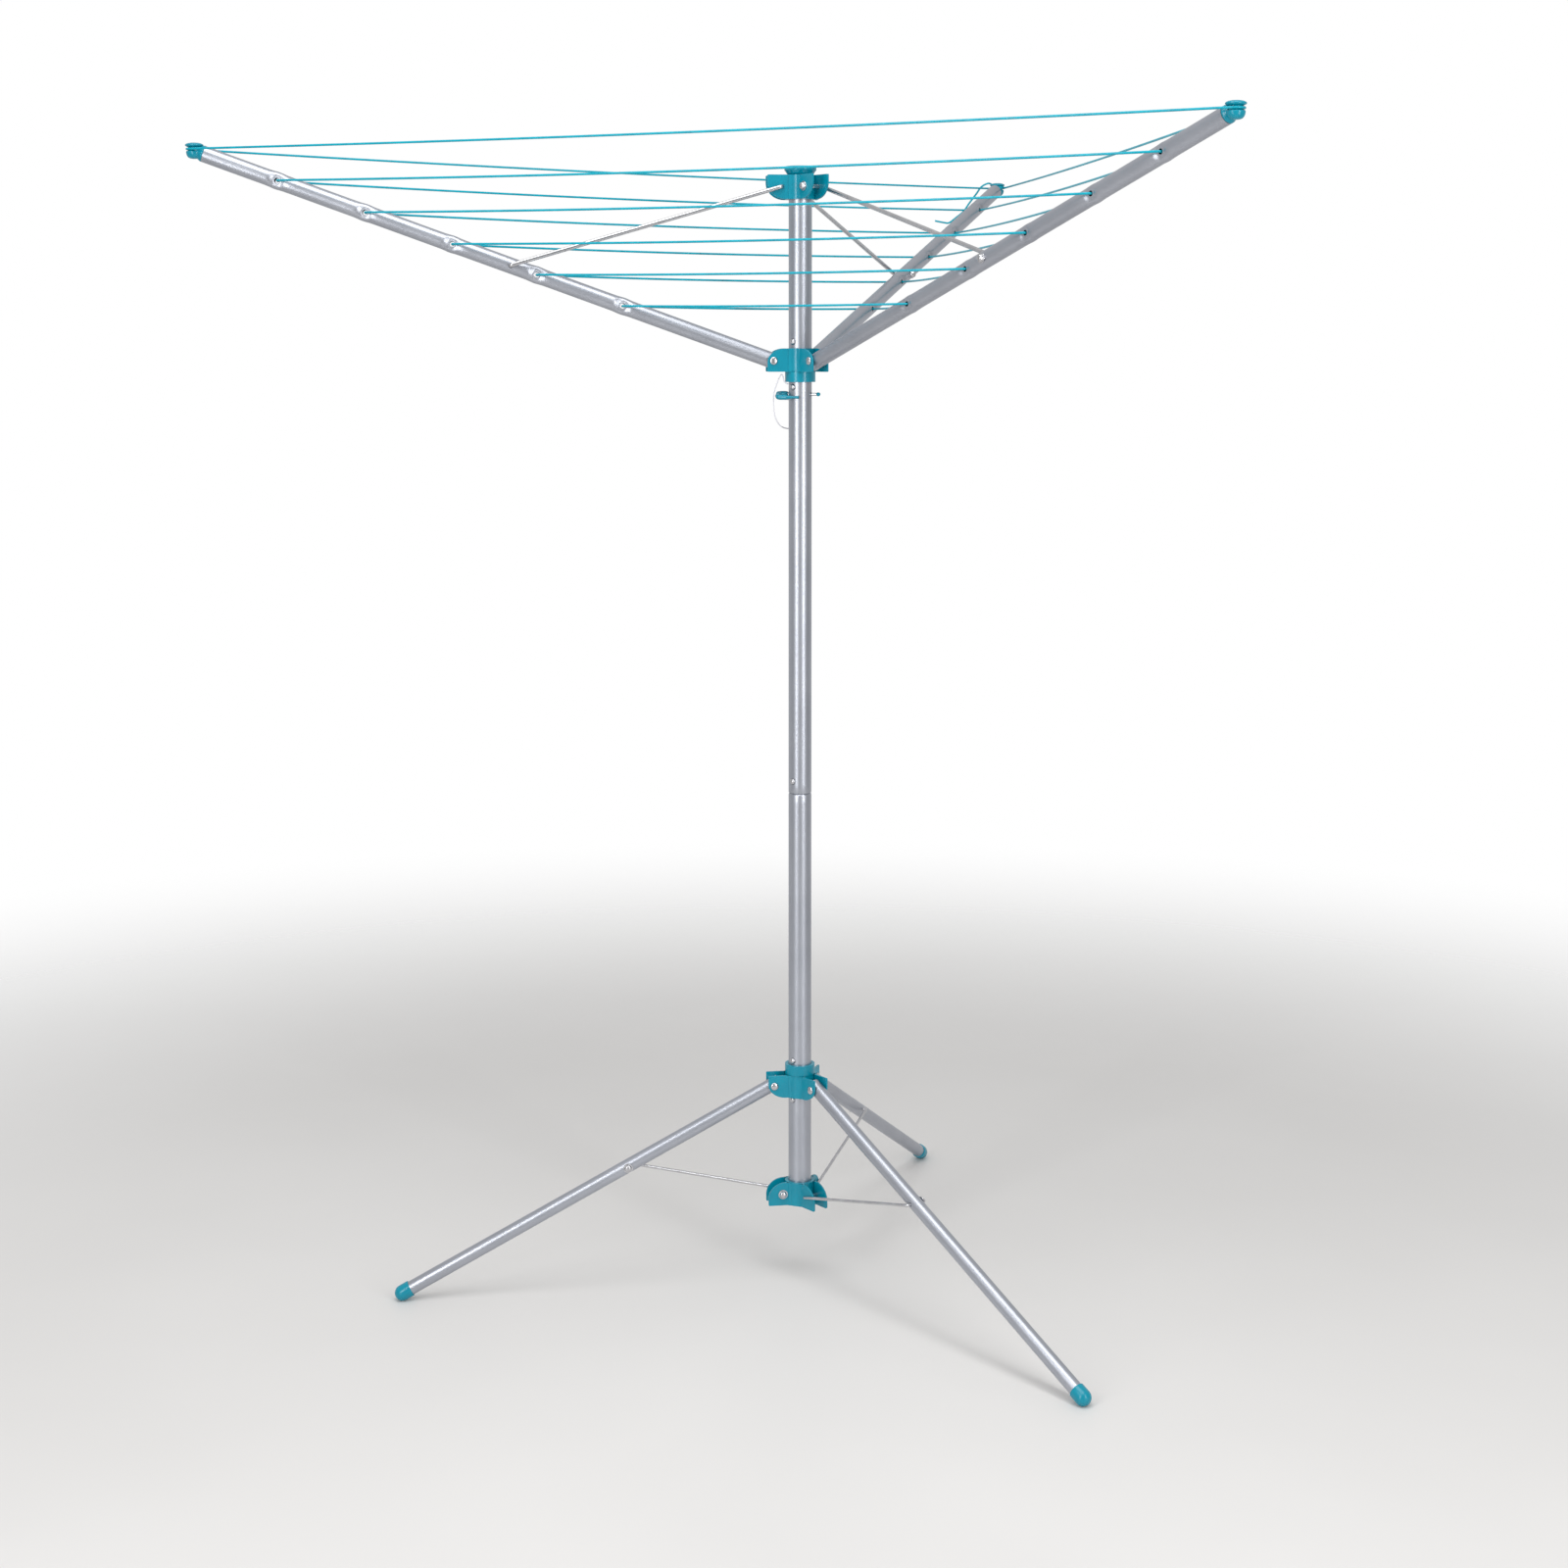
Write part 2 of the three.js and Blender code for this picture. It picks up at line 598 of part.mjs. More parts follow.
const raised = (d) => v3(d, 0, 6).applyMatrix4(tilted(arm.x, arm.z, arm.angle));
const inSpoke = (point, n) => point.clone().applyMatrix4(turnZ(SPOKES[n]));
const order = [2, 0, 1];
const line = [];
const cross = 11.2;
for (const share of EYELETS) {
  const d = share * arm.length;
  const inside = alongArm(d, 0);
  line.push(inSpoke(raised(d - 16), 2), inSpoke(inside, 2), inSpoke(alongArm(d, cross), 2));
  for (const n of [order[1], order[2]]) {
    line.push(inSpoke(alongArm(d, -cross), n), inSpoke(alongArm(d, cross), n));
  }
  line.push(inSpoke(alongArm(d, -cross), 2), inSpoke(inside, 2), inSpoke(raised(d + 16), 2));
}
const firstTurn = out.map((p) => inSpoke(p, 2));
const lastTurn = wrapFrom(-60, 60, 30).map((p) => inSpoke(p, 0));
const secondTip = wrapFrom(-60, 60, 30).map((p) => inSpoke(p, 1));
const knotWrap = wrapFrom(-60, 0, 20).map((p) => inSpoke(p.clone().add(v3(0.35, 0, -0.25)), 2));
const run = softened(line, 3, 1);
const main = swept([...run, ...softened(firstTurn, 3, 2), ...lastTurn, secondTip[0], secondTip[1]],
  LINE_R, 5);
const closing = swept([...secondTip, ...knotWrap], LINE_R, 5);
const knotAt = inSpoke(v3(ARM_TIP_X + 12.8, 0, ARM_TIP_Z + GROOVE_Z), 2);
const knot = solid(new THREE.IcosahedronGeometry(3.3, 1).translate(knotAt.x, knotAt.y, knotAt.z));

// the loose end beyond the knot, as steps to the left of it and up, in arm 3's own frame
const TAIL = [[31, 3], [39, -8], [51, -24], [60, -37], [72, -47], [84, -56], [92, -56], [108, -53]];
const tailStart = [v3(12.8, 0, GROOVE_Z), v3(14.6, 6, 4.6), v3(12, 13, 9), v3(5.2, 18.6, 10.8)];
const tail = tailStart.map((p) => p.clone().add(v3(ARM_TIP_X, 0, ARM_TIP_Z)));
for (const [side, up] of TAIL) {
  tail.push(v3(ARM_TIP_X + 12.8 - 0.4 * side, 0.916 * side, ARM_TIP_Z + GROOVE_Z + up));
}
const loose = swept(new THREE.CatmullRomCurve3(tail).getPoints(15).map((p) => inSpoke(p, 2)), LINE_R, 5);
add("clothesline", placed(join(main, closing, knot, loose), head), "line");

// ---- locking pin, its handle and tether ----

const pinFrame = turnZ(PIN_TURN + HEAD_TURN).premultiply(lift(PIN_Z));
const layX = new THREE.Matrix4().makeRotationY(Math.PI / 2);
const shankRod = placed(turned([[0, -23.4], [2, -23.4], [2, 26], [0, 26]], 16), layX);
add("locking_pin", placed(shankRod, pinFrame), "steel");
const tipBall = turned([[0, -28.6], [1.6, -28.2], [2.6, -26.9], [2.8, -25.6], [2.4, -24], [1.6, -23.7],
  [0, -23.7]], 16);
add("locking_pin_tip", placed(placed(tipBall, layX), pinFrame), "teal");

const fingerY = 19.6;
const grip = cut(
  turned([[0, 17.4], [3.4, 17.4], [4.2, 19], [4.4, 27], [3.6, 33], [0, 34.5]], 12),
  turned([[0, 10], [2.3, 10], [2.3, 26.4], [0, 26.4]], 10),
);
const bridge = swept(softened([v3(27, 0, 0), v3(29.5, 11, -2), v3(26, fingerY - 0.4, -4), v3(14, fingerY, -4)],
  7, 2), 3.4, 8);
const taper = turned([[0, -3.6], [1.6, -3], [2.1, -1], [1.5, 2.6], [1.4, 4], [2.6, 12], [3.2, 20],
  [3.3, 25], [0, 26]], 8);
const fingerAt = new THREE.Matrix4().makeTranslation(0, fingerY, -4);
const gripX = placed(grip, layX);
const finger = placed(placed(taper, layX), fingerAt);
const pinHole = placed(turned([[0, 10], [2.3, 10], [2.3, 26.4], [0, 26.4]], 10), layX);
add("locking_pin_handle", placed(cut(join(gripX, bridge, finger), pinHole), pinFrame), "teal");

const tetherPoints = [[-22, -8, 1271.9], [-26, -7, 1266], [-35.5, -6, 1262.5], [-40, -5, 1256],
  [-40.6, -2, 1243], [-40, 0, 1228], [-34, 5, 1211], [-24, 12, 1203.5], [-10, 19.5, 1203], [0, 21, 1210],
  [5, 21, 1224], [2, 21, 1238], [-10, 19.8, 1246], [-22, 13.5, 1250]];
const fromView = turnZ(-9.4);
const tetherCurve = new THREE.CatmullRomCurve3(tetherPoints.map(([x, y, z]) => v3(x, y, z)));
const tether = swept(tetherCurve.getPoints(26), TETHER_R, 5);
add("tether_cord", placed(tether, fromView), "cord");

export default group;
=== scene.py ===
import json
import math

import bmesh
import bpy
import numpy as np
from mathutils import Matrix, Vector

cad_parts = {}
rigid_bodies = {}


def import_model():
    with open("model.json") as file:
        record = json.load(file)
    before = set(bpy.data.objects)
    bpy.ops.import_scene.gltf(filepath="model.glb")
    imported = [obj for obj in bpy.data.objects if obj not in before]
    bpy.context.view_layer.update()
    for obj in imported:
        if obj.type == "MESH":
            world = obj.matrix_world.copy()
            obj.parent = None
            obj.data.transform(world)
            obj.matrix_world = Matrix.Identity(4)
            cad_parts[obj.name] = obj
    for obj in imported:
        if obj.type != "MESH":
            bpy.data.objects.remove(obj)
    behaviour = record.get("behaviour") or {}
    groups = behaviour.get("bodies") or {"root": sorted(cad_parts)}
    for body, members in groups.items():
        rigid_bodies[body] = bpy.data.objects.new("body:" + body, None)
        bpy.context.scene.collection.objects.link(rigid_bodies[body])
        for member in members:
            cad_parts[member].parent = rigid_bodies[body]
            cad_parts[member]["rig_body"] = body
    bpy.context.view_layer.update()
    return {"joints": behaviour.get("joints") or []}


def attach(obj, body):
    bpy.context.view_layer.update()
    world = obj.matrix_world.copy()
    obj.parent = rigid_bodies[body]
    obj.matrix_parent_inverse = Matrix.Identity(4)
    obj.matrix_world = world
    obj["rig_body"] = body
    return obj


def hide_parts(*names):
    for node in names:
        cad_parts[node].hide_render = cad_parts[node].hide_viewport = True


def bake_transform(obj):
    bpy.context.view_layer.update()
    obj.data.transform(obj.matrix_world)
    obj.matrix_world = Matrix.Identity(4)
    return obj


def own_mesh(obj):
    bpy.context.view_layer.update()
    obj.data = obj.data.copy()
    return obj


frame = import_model()

# Three-arm rotary airer on a tripod. Drawn in millimetres in the row frame, placed in metres.
MM = 0.001
SPOKES = [180, 300, 60]
HEAD_TURN = -3.1

# mast
MAST_R = 16
WALL = 1.2
MAST_FOOT = 113.8
JOINT_Z = 699
SPIGOT_R = 14.5
SPIGOT_TOP = 760
WAIST_R = 10.8
WAIST_LOW = 711.5
WAIST_HIGH = 722.5
WAIST_SLOPE = 3.5
MAST_HEAD = 1554.6

# hubs
COLLAR_R = 21
BORE_R = 16.4
EAR_REACH = 46.5
EAR_ROOT_X = 16.8
EAR_SHOULDER_X = 21.5
EAR_T = 2.5
EAR_FILLET = 8
SLIDE_HUB_H = 32
SLIDE_RING_H = 14
SLIDE_PIVOT_Z = 15
END_HUB_H = 33
END_PIVOT_Z = 16
PIVOT_X = 38
STAY_PIVOT_X = 26
ARM_HUB_FLAT_Z = 1287
LEG_HUB_FLAT_Z = 298
BOTTOM_HUB_FLAT_Z = 110
TOP_HUB_FLAT_Z = 1555

# arms
ARM_R = 11
ARM_TIP_X = 814
ARM_TIP_Z = 1582
ARM_GAP = 23
EYELETS = [0.266, 0.416, 0.562, 0.711, 0.86]
EYELET_HOLE_R = 3.4
EYELET_PINCH = 2.9
ARM_JOINT = 380
ARM_STAY_R = 3
ARM_FOLDED = 88.5

# legs
LEG_R = 9.5
FOOT_X = 560
FOOT_R = 11
FOOT_FLAT = 0.8
LEG_GAP = 20
LEG_JOINT = 234
LEG_STAY_R = 2.1

# line: its crossing of an arm, its groove in an arm's tip, and how much a span sags
LINE_R = 1.5
LINE_CROSS = 11.2
GROOVE_Z = 1.95
WRAP_R = 9.9
WRAP_ANGLE = 60
SAG_FIRST = 1.5
SAG_STEP = 0.9
SAG_OUTER = 4.0

# tether, locking pin and buttons
TETHER_R = 0.9
PIN_Z = 1256
PIN_TURN = 158.7
PIN_R = 2
PIN_HOLE_R = 3.1
FINGER_Y = 19.6
BUTTON_TURN = 223.7
BUTTON_R = 4
BUTTONS = {
    "leg_hub_lower_button": 262,
    "leg_hub_upper_button": 318,
    "mast_joint_button": 717,
    "arm_hub_lower_button": 1266,
    "arm_hub_upper_button": 1328,
}

# floor: how far from the mast it is whole, and where it has faded away, in metres
FLOOR_FULL = 1.0
FLOOR_GONE = 3.2
FLOOR_Z = -0.0005

# camera: fitted to the photo, in metres and degrees
CAMERA_PLACE = (-0.5605, -3.4062, 1.3206)
CAMERA_DOWN = 5.336
CAMERA_TURN = -8.973
CAMERA_LENS = 57.256
CAMERA_SHIFT = -0.13

IDENTITY = Matrix.Identity(4)


# ---- frames ----


def turn_z(degrees):
    return Matrix.Rotation(math.radians(degrees), 4, "Z")


def shift(x, y, z):
    return Matrix.Translation((x, y, z))


def tilted(x, z, angle):
    """From "x along the tube, y to the left, z up across it" to the spoke's own upright frame."""
    return shift(x, 0, z) @ Matrix.Rotation(-angle, 4, "Y")


LAY_X = Matrix.Rotation(math.pi / 2, 4, "Y")  # takes +Z to +X
LAY_Y = Matrix.Rotation(-math.pi / 2, 4, "X")  # takes +Z to +Y
FLIP = Matrix.Rotation(math.pi, 4, "X")
HEAD = turn_z(HEAD_TURN)

ARM_PIVOT_Z = ARM_HUB_FLAT_Z + SLIDE_PIVOT_Z
ARM_ANGLE = math.atan2(ARM_TIP_Z - ARM_PIVOT_Z, ARM_TIP_X - PIVOT_X)
ARM_LENGTH = math.hypot(ARM_TIP_Z - ARM_PIVOT_Z, ARM_TIP_X - PIVOT_X)
ARM = tilted(PIVOT_X, ARM_PIVOT_Z, ARM_ANGLE)
ARM_STAY_JOINT = ARM @ Vector((ARM_JOINT, 0, 0))

LEG_PIVOT_Z = LEG_HUB_FLAT_Z - SLIDE_PIVOT_Z
FOOT_Z = FOOT_R - FOOT_FLAT
LEG_ANGLE = math.atan2(FOOT_Z - LEG_PIVOT_Z, FOOT_X - PIVOT_X)
LEG_LENGTH = math.hypot(FOOT_Z - LEG_PIVOT_Z, FOOT_X - PIVOT_X)
LEG = tilted(PIVOT_X, LEG_PIVOT_Z, LEG_ANGLE)
LEG_STAY_JOINT = LEG @ Vector((LEG_JOINT, 0, 0))

TOP_STAY_Z = TOP_HUB_FLAT_Z - END_PIVOT_Z
BOTTOM_STAY_Z = BOTTOM_HUB_FLAT_Z + END_PIVOT_Z


# ---- materials ----


class Look:
    """A node material, built up from its shader outwards."""

    def __init__(self, name, **shader):
        self.material = bpy.data.materials.new(name)
        self.material.use_nodes = True
        self.tree = self.material.node_tree
        self.shader = self.tree.nodes["Principled BSDF"]
        for socket, value in shader.items():
            self.shader.inputs[socket.replace("_", " ")].default_value = value

    def node(self, kind, **values):
        made = self.tree.nodes.new(kind)
        for key, value in values.items():
            setattr(made, key, value)
        return made

    def link(self, source, target):
        self.tree.links.new(source, target)

    def coordinates(self, scale=(1, 1, 1)):
        """Places on the piece itself, in metres along its own axes, stretched by scale."""
        place = self.node("ShaderNodeAttribute", attribute_name="own_place")
        mapping = self.node("ShaderNodeMapping")
        mapping.inputs["Scale"].default_value = scale
        self.link(place.outputs["Vector"], mapping.inputs["Vector"])
        return mapping.outputs["Vector"]

    def noise(self, scale, detail=3, stretch=(1, 1, 1), roughness=0.5):
        made = self.node("ShaderNodeTexNoise")
        made.inputs["Scale"].default_value = scale
        made.inputs["Detail"].default_value = detail
        made.inputs["Roughness"].default_value = roughness
        self.link(self.coordinates(stretch), made.inputs["Vector"])
        return made.outputs["Fac"]

    def spread(self, value, low, high):
        """Takes a noise of 0.3 to 0.7 to the range low to high."""
        made = self.node("ShaderNodeMapRange")
        made.inputs["From Min"].default_value = 0.3
        made.inputs["From Max"].default_value = 0.7
        made.inputs["To Min"].default_value = low
        made.inputs["To Max"].default_value = high
        self.link(value, made.inputs["Value"])
        return made.outputs["Result"]

    def between(self, value, dark, light):
        made = self.node("ShaderNodeMix", data_type="RGBA")
        made.inputs[6].default_value = (*dark, 1)
        made.inputs[7].default_value = (*light, 1)
        self.link(value, made.inputs["Factor"])
        return made.outputs[2]

    def colour(self, value, dark, light):
        self.link(self.between(value, dark, light), self.shader.inputs["Base Color"])

    def roughness(self, value, low, high):
        self.link(self.spread(value, low, high), self.shader.inputs["Roughness"])

    def bump(self, value, strength, distance):
        made = self.node("ShaderNodeBump")
        made.inputs["Strength"].default_value = strength
        made.inputs["Distance"].default_value = distance
        self.link(value, made.inputs["Height"])
        self.link(made.outputs["Normal"], self.shader.inputs["Normal"])


def aluminium_look():
    """Satin anodised tube, drawn along its own Z axis."""
    look = Look("aluminium", Metallic=1.0, IOR=1.5)
    streaks = look.noise(1, 4, (900, 900, 6), 0.6)
    patches = look.noise(14, 3)
    look.colour(look.spread(patches, 0, 1), (0.42, 0.44, 0.49), (0.48, 0.50, 0.55))
    look.roughness(streaks, 0.34, 0.44)
    look.bump(streaks, 0.02, 0.0001)
    return look.material


def plastic_look():
    """Moulded teal plastic with a faint grain."""
    look = Look("teal_plastic", IOR=1.45, Specular_IOR_Level=0.5)
    tone = look.noise(26, 3)
    grain = look.noise(1500, 2)
    look.colour(look.spread(tone, 0, 1), (0.0, 0.215, 0.305), (0.0, 0.26, 0.36))
    look.roughness(grain, 0.20, 0.28)
    look.bump(grain, 0.08, 0.0001)
    return look.material


def steel_look():
    """Bright zinc-plated steel: stays, rivets, nuts and buttons."""
    look = Look("zinc_steel", Metallic=1.0, IOR=1.5)
    patches = look.noise(90, 3)
    grain = look.noise(900, 3, (1, 1, 0.08))
    look.colour(look.spread(patches, 0, 1), (0.52, 0.52, 0.54), (0.63, 0.63, 0.65))
    look.roughness(grain, 0.20, 0.29)
    look.bump(grain, 0.03, 0.00005)
    return look.material


def line_look():
    """Plastic-coated line."""
    look = Look("coated_line", IOR=1.45, Specular_IOR_Level=0.35)
    tone = look.noise(60, 3)
    ripple = look.noise(420, 2)
    look.colour(look.spread(tone, 0, 1), (0.0, 0.29, 0.39), (0.0, 0.37, 0.48))
    look.roughness(ripple, 0.25, 0.38)
    look.bump(ripple, 0.2, 0.0002)
    return look.material


def cord_look():
    """Thin braided white cord."""
    look = Look("braided_cord", Sheen_Weight=0.25, Sheen_Roughness=0.5)
    braid = look.noise(2600, 2)
    look.colour(look.spread(braid, 0, 1), (0.60, 0.59, 0.64), (0.84, 0.83, 0.87))
    look.roughness(braid, 0.75, 0.92)
    look.bump(braid, 0.5, 0.0002)
    return look.material


def floor_look():
    """Pale floor that fades into the backdrop away from the object."""
    look = Look("pale_floor")
    cloud = look.noise(0.7, 4)
    look.colour(look.spread(cloud, 0, 1), (0.66, 0.65, 0.64), (0.72, 0.71, 0.70))
    look.roughness(look.noise(3, 4), 0.5, 0.62)
    length = look.node("ShaderNodeVectorMath", operation="LENGTH")
    look.link(look.coordinates(), length.inputs[0])
    fade = look.node("ShaderNodeMapRange", interpolation_type="SMOOTHSTEP")
    fade.inputs["From Min"].default_value = FLOOR_FULL
    fade.inputs["From Max"].default_value = FLOOR_GONE
    fade.inputs["To Min"].default_value = 1
    fade.inputs["To Max"].default_value = 0
    look.link(length.outputs["Value"], fade.inputs["Value"])
    look.link(fade.outputs["Result"], look.shader.inputs["Alpha"])
    return look.material


LOOKS = {
    "aluminium": aluminium_look(),
    "plastic": plastic_look(),
    "steel": steel_look(),
    "line": line_look(),
    "cord": cord_look(),
}


# ---- shells: (points, faces) in millimetres ----


def lathe(profile, sides=64, longest=12):
    """A closed shell round Z from [radius, height] pairs, with no face longer than that."""
    points, rings, faces = [], [], []
    closed = profile[0] == profile[-1]
    fine = [profile[0]]
    for (r0, z0), (r1, z1) in zip(profile, profile[1:]):
        n = max(1, math.ceil(abs(z1 - z0) / longest))
        fine += [(r0 + (r1 - r0) * i / n, z0 + (z1 - z0) * i / n) for i in range(1, n + 1)]
    profile = fine
    for r, z in profile[:-1] if closed else profile:
        first = len(points)
        if r < 1e-6:
            points.append((0, 0, z))
            rings.append([first])
            continue
        for i in range(sides):
            a = 2 * math.pi * i / sides
            points.append((r * math.cos(a), r * math.sin(a), z))
        rings.append(list(range(first, first + sides)))
    if closed:
        rings.append(rings[0])
    for below, above in zip(rings, rings[1:]):
        if len(below) == 1 and len(above) == 1:
            continue
        for i in range(sides):
            j = (i + 1) % sides
            if len(below) == 1:
                faces.append((below[0], above[j], above[i]))
            elif len(above) == 1:
                faces.append((below[i], below[j], above[0]))
            else:
                faces.append((below[i], below[j], above[j], above[i]))
    return points, faces


def prism(outline, z0, z1):
    """An outline in X and Y, extruded along Z."""
    n = len(outline)
    points = [(x, y, z0) for x, y in outline] + [(x, y, z1) for x, y in outline]
    faces = [tuple(reversed(range(n))), tuple(range(n, 2 * n))]
    faces += [(i, (i + 1) % n, n + (i + 1) % n, n + i) for i in range(n)]
    return points, faces


def placed(shell, matrix):
    points, faces = shell
    return [tuple(matrix @ Vector(p)) for p in points], faces


def joined(*shells):
    points, faces = [], []
    for more, their in shells:
        first = len(points)
        points += more
        faces += [tuple(first + i for i in face) for face in their]
    return points, faces


def rod(path, radius, sides=16):
    """A round rod along a path, with closed ends. radius is one number, or one for each point."""
    path = [Vector(p) for p in path]
    radii = [radius] * len(path) if isinstance(radius, (int, float)) else radius
    tangents = []
    for i in range(len(path)):
        before, after = path[max(i - 1, 0)], path[min(i + 1, len(path) - 1)]
        tangents.append((after - before).normalized())
    side = tangents[0].orthogonal().normalized()
    points, faces = [], []
    for p, t, r in zip(path, tangents, radii):
        side = (side - t * side.dot(t)).normalized()
        up = t.cross(side)
        for k in range(sides):
            a = 2 * math.pi * k / sides
            points.append(tuple(p + (side * math.cos(a) + up * math.sin(a)) * r))
    for i in range(len(path) - 1):
        for k in range(sides):
            j = (k + 1) % sides
            faces.append((i * sides + k, i * sides + j, (i + 1) * sides + j, (i + 1) * sides + k))
    faces.append(tuple(reversed(range(sides))))
    last = (len(path) - 1) * sides
    faces.append(tuple(range(last, last + sides)))
    return points, faces


def softened(points, radius, steps=8):
    """Rounds every corner of a polyline."""
    points = [Vector(p) for p in points]
    made = [points[0]]
    for before, corner, after in zip(points, points[1:], points[2:]):
        back, ahead = before - corner, after - corner
        bend = math.pi - back.angle(ahead)
        if bend < math.radians(2):
            made.append(corner)
            continue
        run = min(radius * math.tan(bend / 2), back.length * 0.45, ahead.length * 0.45)
        start, end = corner + back.normalized() * run, corner + ahead.normalized() * run
        for i in range(steps + 1):
            t = i / steps
            made.append(start * (1 - t) ** 2 + corner * 2 * t * (1 - t) + end * t * t)
    made.append(points[-1])
    return made


def smooth_path(points, steps):
    """Points along a Catmull-Rom curve through the given ones."""
    p = [Vector(q) for q in points]
    p = [p[0] * 2 - p[1], *p, p[-1] * 2 - p[-2]]
    made = []
    for a, b, c, d in zip(p, p[1:], p[2:], p[3:]):
        for i in range(steps):
            t = i / steps
            made.append(
                0.5 * (2 * b + (c - a) * t + (2 * a - 5 * b + 4 * c - d) * t**2
                       + (3 * b - a - 3 * c + d) * t**3)
            )
    made.append(p[-2])
    return made


def arc(cx, cy, r, start, end, steps):
    """Points of an arc in a plane, angles in degrees."""
    made = []
    for i in range(steps + 1):
        a = math.radians(start + (end - start) * i / steps)
        made.append((cx + r * math.cos(a), cy + r * math.sin(a)))
    return made


def arc_length(path):
    return sum((b - a).length for a, b in zip(path, path[1:]))


# ---- pieces ----


def solid_mesh(name, shell, cutter=None):
    """A mesh in metres, with its cutter taken away from it."""
    points, faces = shell
    mesh = bpy.data.meshes.new(name)
    mesh.from_pydata([(x * MM, y * MM, z * MM) for x, y, z in points], [], faces)
    bm = bmesh.new()
    bm.from_mesh(mesh)
    bmesh.ops.recalc_face_normals(bm, faces=bm.faces)
    bm.to_mesh(mesh)
    bm.free()
    if cutter is None:
        return mesh
    body = bpy.data.objects.new(name + "_body", mesh)
    tool = bpy.data.objects.new(name + "_tool", solid_mesh(name + "_tool", cutter))
    for o in (body, tool):
        bpy.context.scene.collection.objects.link(o)
    hole = body.modifiers.new("hole", "BOOLEAN")
    hole.operation = "DIFFERENCE"
    hole.solver = "EXACT"
    hole.object = tool
    bpy.context.view_layer.update()
    made = bpy.data.meshes.new_from_object(body.evaluated_get(bpy.context.evaluated_depsgraph_get()))
    for o in (body, tool):
        bpy.data.objects.remove(o)
    return made


def keep_places(mesh):
    """Stores each point's place on the piece, for the materials, before the piece is put in place."""
    places = mesh.attributes.new("own_place", "FLOAT_VECTOR", "POINT")
    places.data.foreach_set("vector", np.array([v.co for v in mesh.vertices], np.float32).ravel())


def piece(name, mesh, at, body, slot, stands_for=(), edge=0.0, sharp=38):
    """Puts a mesh in the scene, riding on a body. at is a frame in millimetres."""
    mesh.shade_smooth()
    mesh.set_sharp_from_angle(angle=math.radians(sharp))
    mesh.materials.clear()
    mesh.materials.append(LOOKS[slot])
    keep_places(mesh)
    place = at.copy()
    place.translation = at.translation * MM
    mesh.transform(place)
    obj = bpy.data.objects.new(name, mesh)
    bpy.context.scene.collection.objects.link(obj)
    if edge:
        bevel = obj.modifiers.new("edge", "BEVEL")
        bevel.width = edge * MM
        bevel.segments = 3
        bevel.limit_method = "ANGLE"
        bevel.angle_limit = math.radians(sharp)
        bevel.harden_normals = True
    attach(obj, body)
    if stands_for:
        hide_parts(*stands_for)
    return obj


def drill(r, sides=32):
    """A cutter right through a tube, along Z."""
    return lathe([(0, -20), (r, -20), (r, 20), (0, 20)], sides)


def across_hole(z, r, sides=32):
    """A cutter across a tube that lies along Z, at that height."""
    return placed(drill(r, sides), shift(0, 0, z) @ LAY_Y)


def button_hole(z, r=BUTTON_R + 0.4):
    """A cutter through the mast's wall on the buttons' side."""
    cutter = lathe([(0, 10), (r, 10), (r, 22), (0, 22)], 32)
    return placed(cutter, shift(0, 0, z) @ turn_z(button_turn) @ LAY_X)


# ---- mast ----

button_turn = BUTTON_TURN + HEAD_TURN
lower_profile = [
    (MAST_R, MAST_FOOT), (MAST_R, JOINT_Z - 1.6), (MAST_R - 0.3, JOINT_Z - 0.9),
    (MAST_R - 0.9, JOINT_Z - 0.2), (SPIGOT_R, JOINT_Z + 0.4), (SPIGOT_R, WAIST_LOW - WAIST_SLOPE),
    (WAIST_R, WAIST_LOW), (WAIST_R, WAIST_HIGH), (SPIGOT_R, WAIST_HIGH + WAIST_SLOPE),
    (SPIGOT_R, SPIGOT_TOP), (SPIGOT_R - WALL, SPIGOT_TOP),
    (SPIGOT_R - WALL, WAIST_HIGH + WAIST_SLOPE + 0.6), (WAIST_R - WALL, WAIST_HIGH + 0.6),
    (WAIST_R - WALL, WAIST_LOW - 0.6), (SPIGOT_R - WALL, WAIST_LOW - WAIST_SLOPE - 0.6),
    (SPIGOT_R - WALL, JOINT_Z - 0.4), (MAST_R - WALL, JOINT_Z - 2.2),
    (MAST_R - WALL, MAST_FOOT), (MAST_R, MAST_FOOT),
]
upper_profile = [
    (MAST_R - WALL, JOINT_Z + 0.8), (MAST_R - 0.7, JOINT_Z + 0.8), (MAST_R - 0.2, JOINT_Z + 1.1),
    (MAST_R, JOINT_Z + 1.6), (MAST_R, MAST_HEAD), (MAST_R - WALL, MAST_HEAD),
    (MAST_R - WALL, JOINT_Z + 0.8),
]
pin_frame = shift(0, 0, PIN_Z) @ turn_z(PIN_TURN + HEAD_TURN)
low_holes = joined(*[button_hole(z) for z in BUTTONS.values() if z < JOINT_Z])
pin_hole = placed(drill(PIN_HOLE_R), pin_frame @ LAY_X)
high_holes = joined(pin_hole, *[button_hole(z) for z in BUTTONS.values() if z > JOINT_Z])
piece("mast_lower", solid_mesh("mast_lower", lathe(lower_profile, 96), low_holes), IDENTITY, "base",
      "aluminium", ["lower_mast_tube"])
piece("mast_upper", solid_mesh("mast_upper", lathe(upper_profile, 96), high_holes), IDENTITY, "head",
      "aluminium", ["upper_mast_tube"])

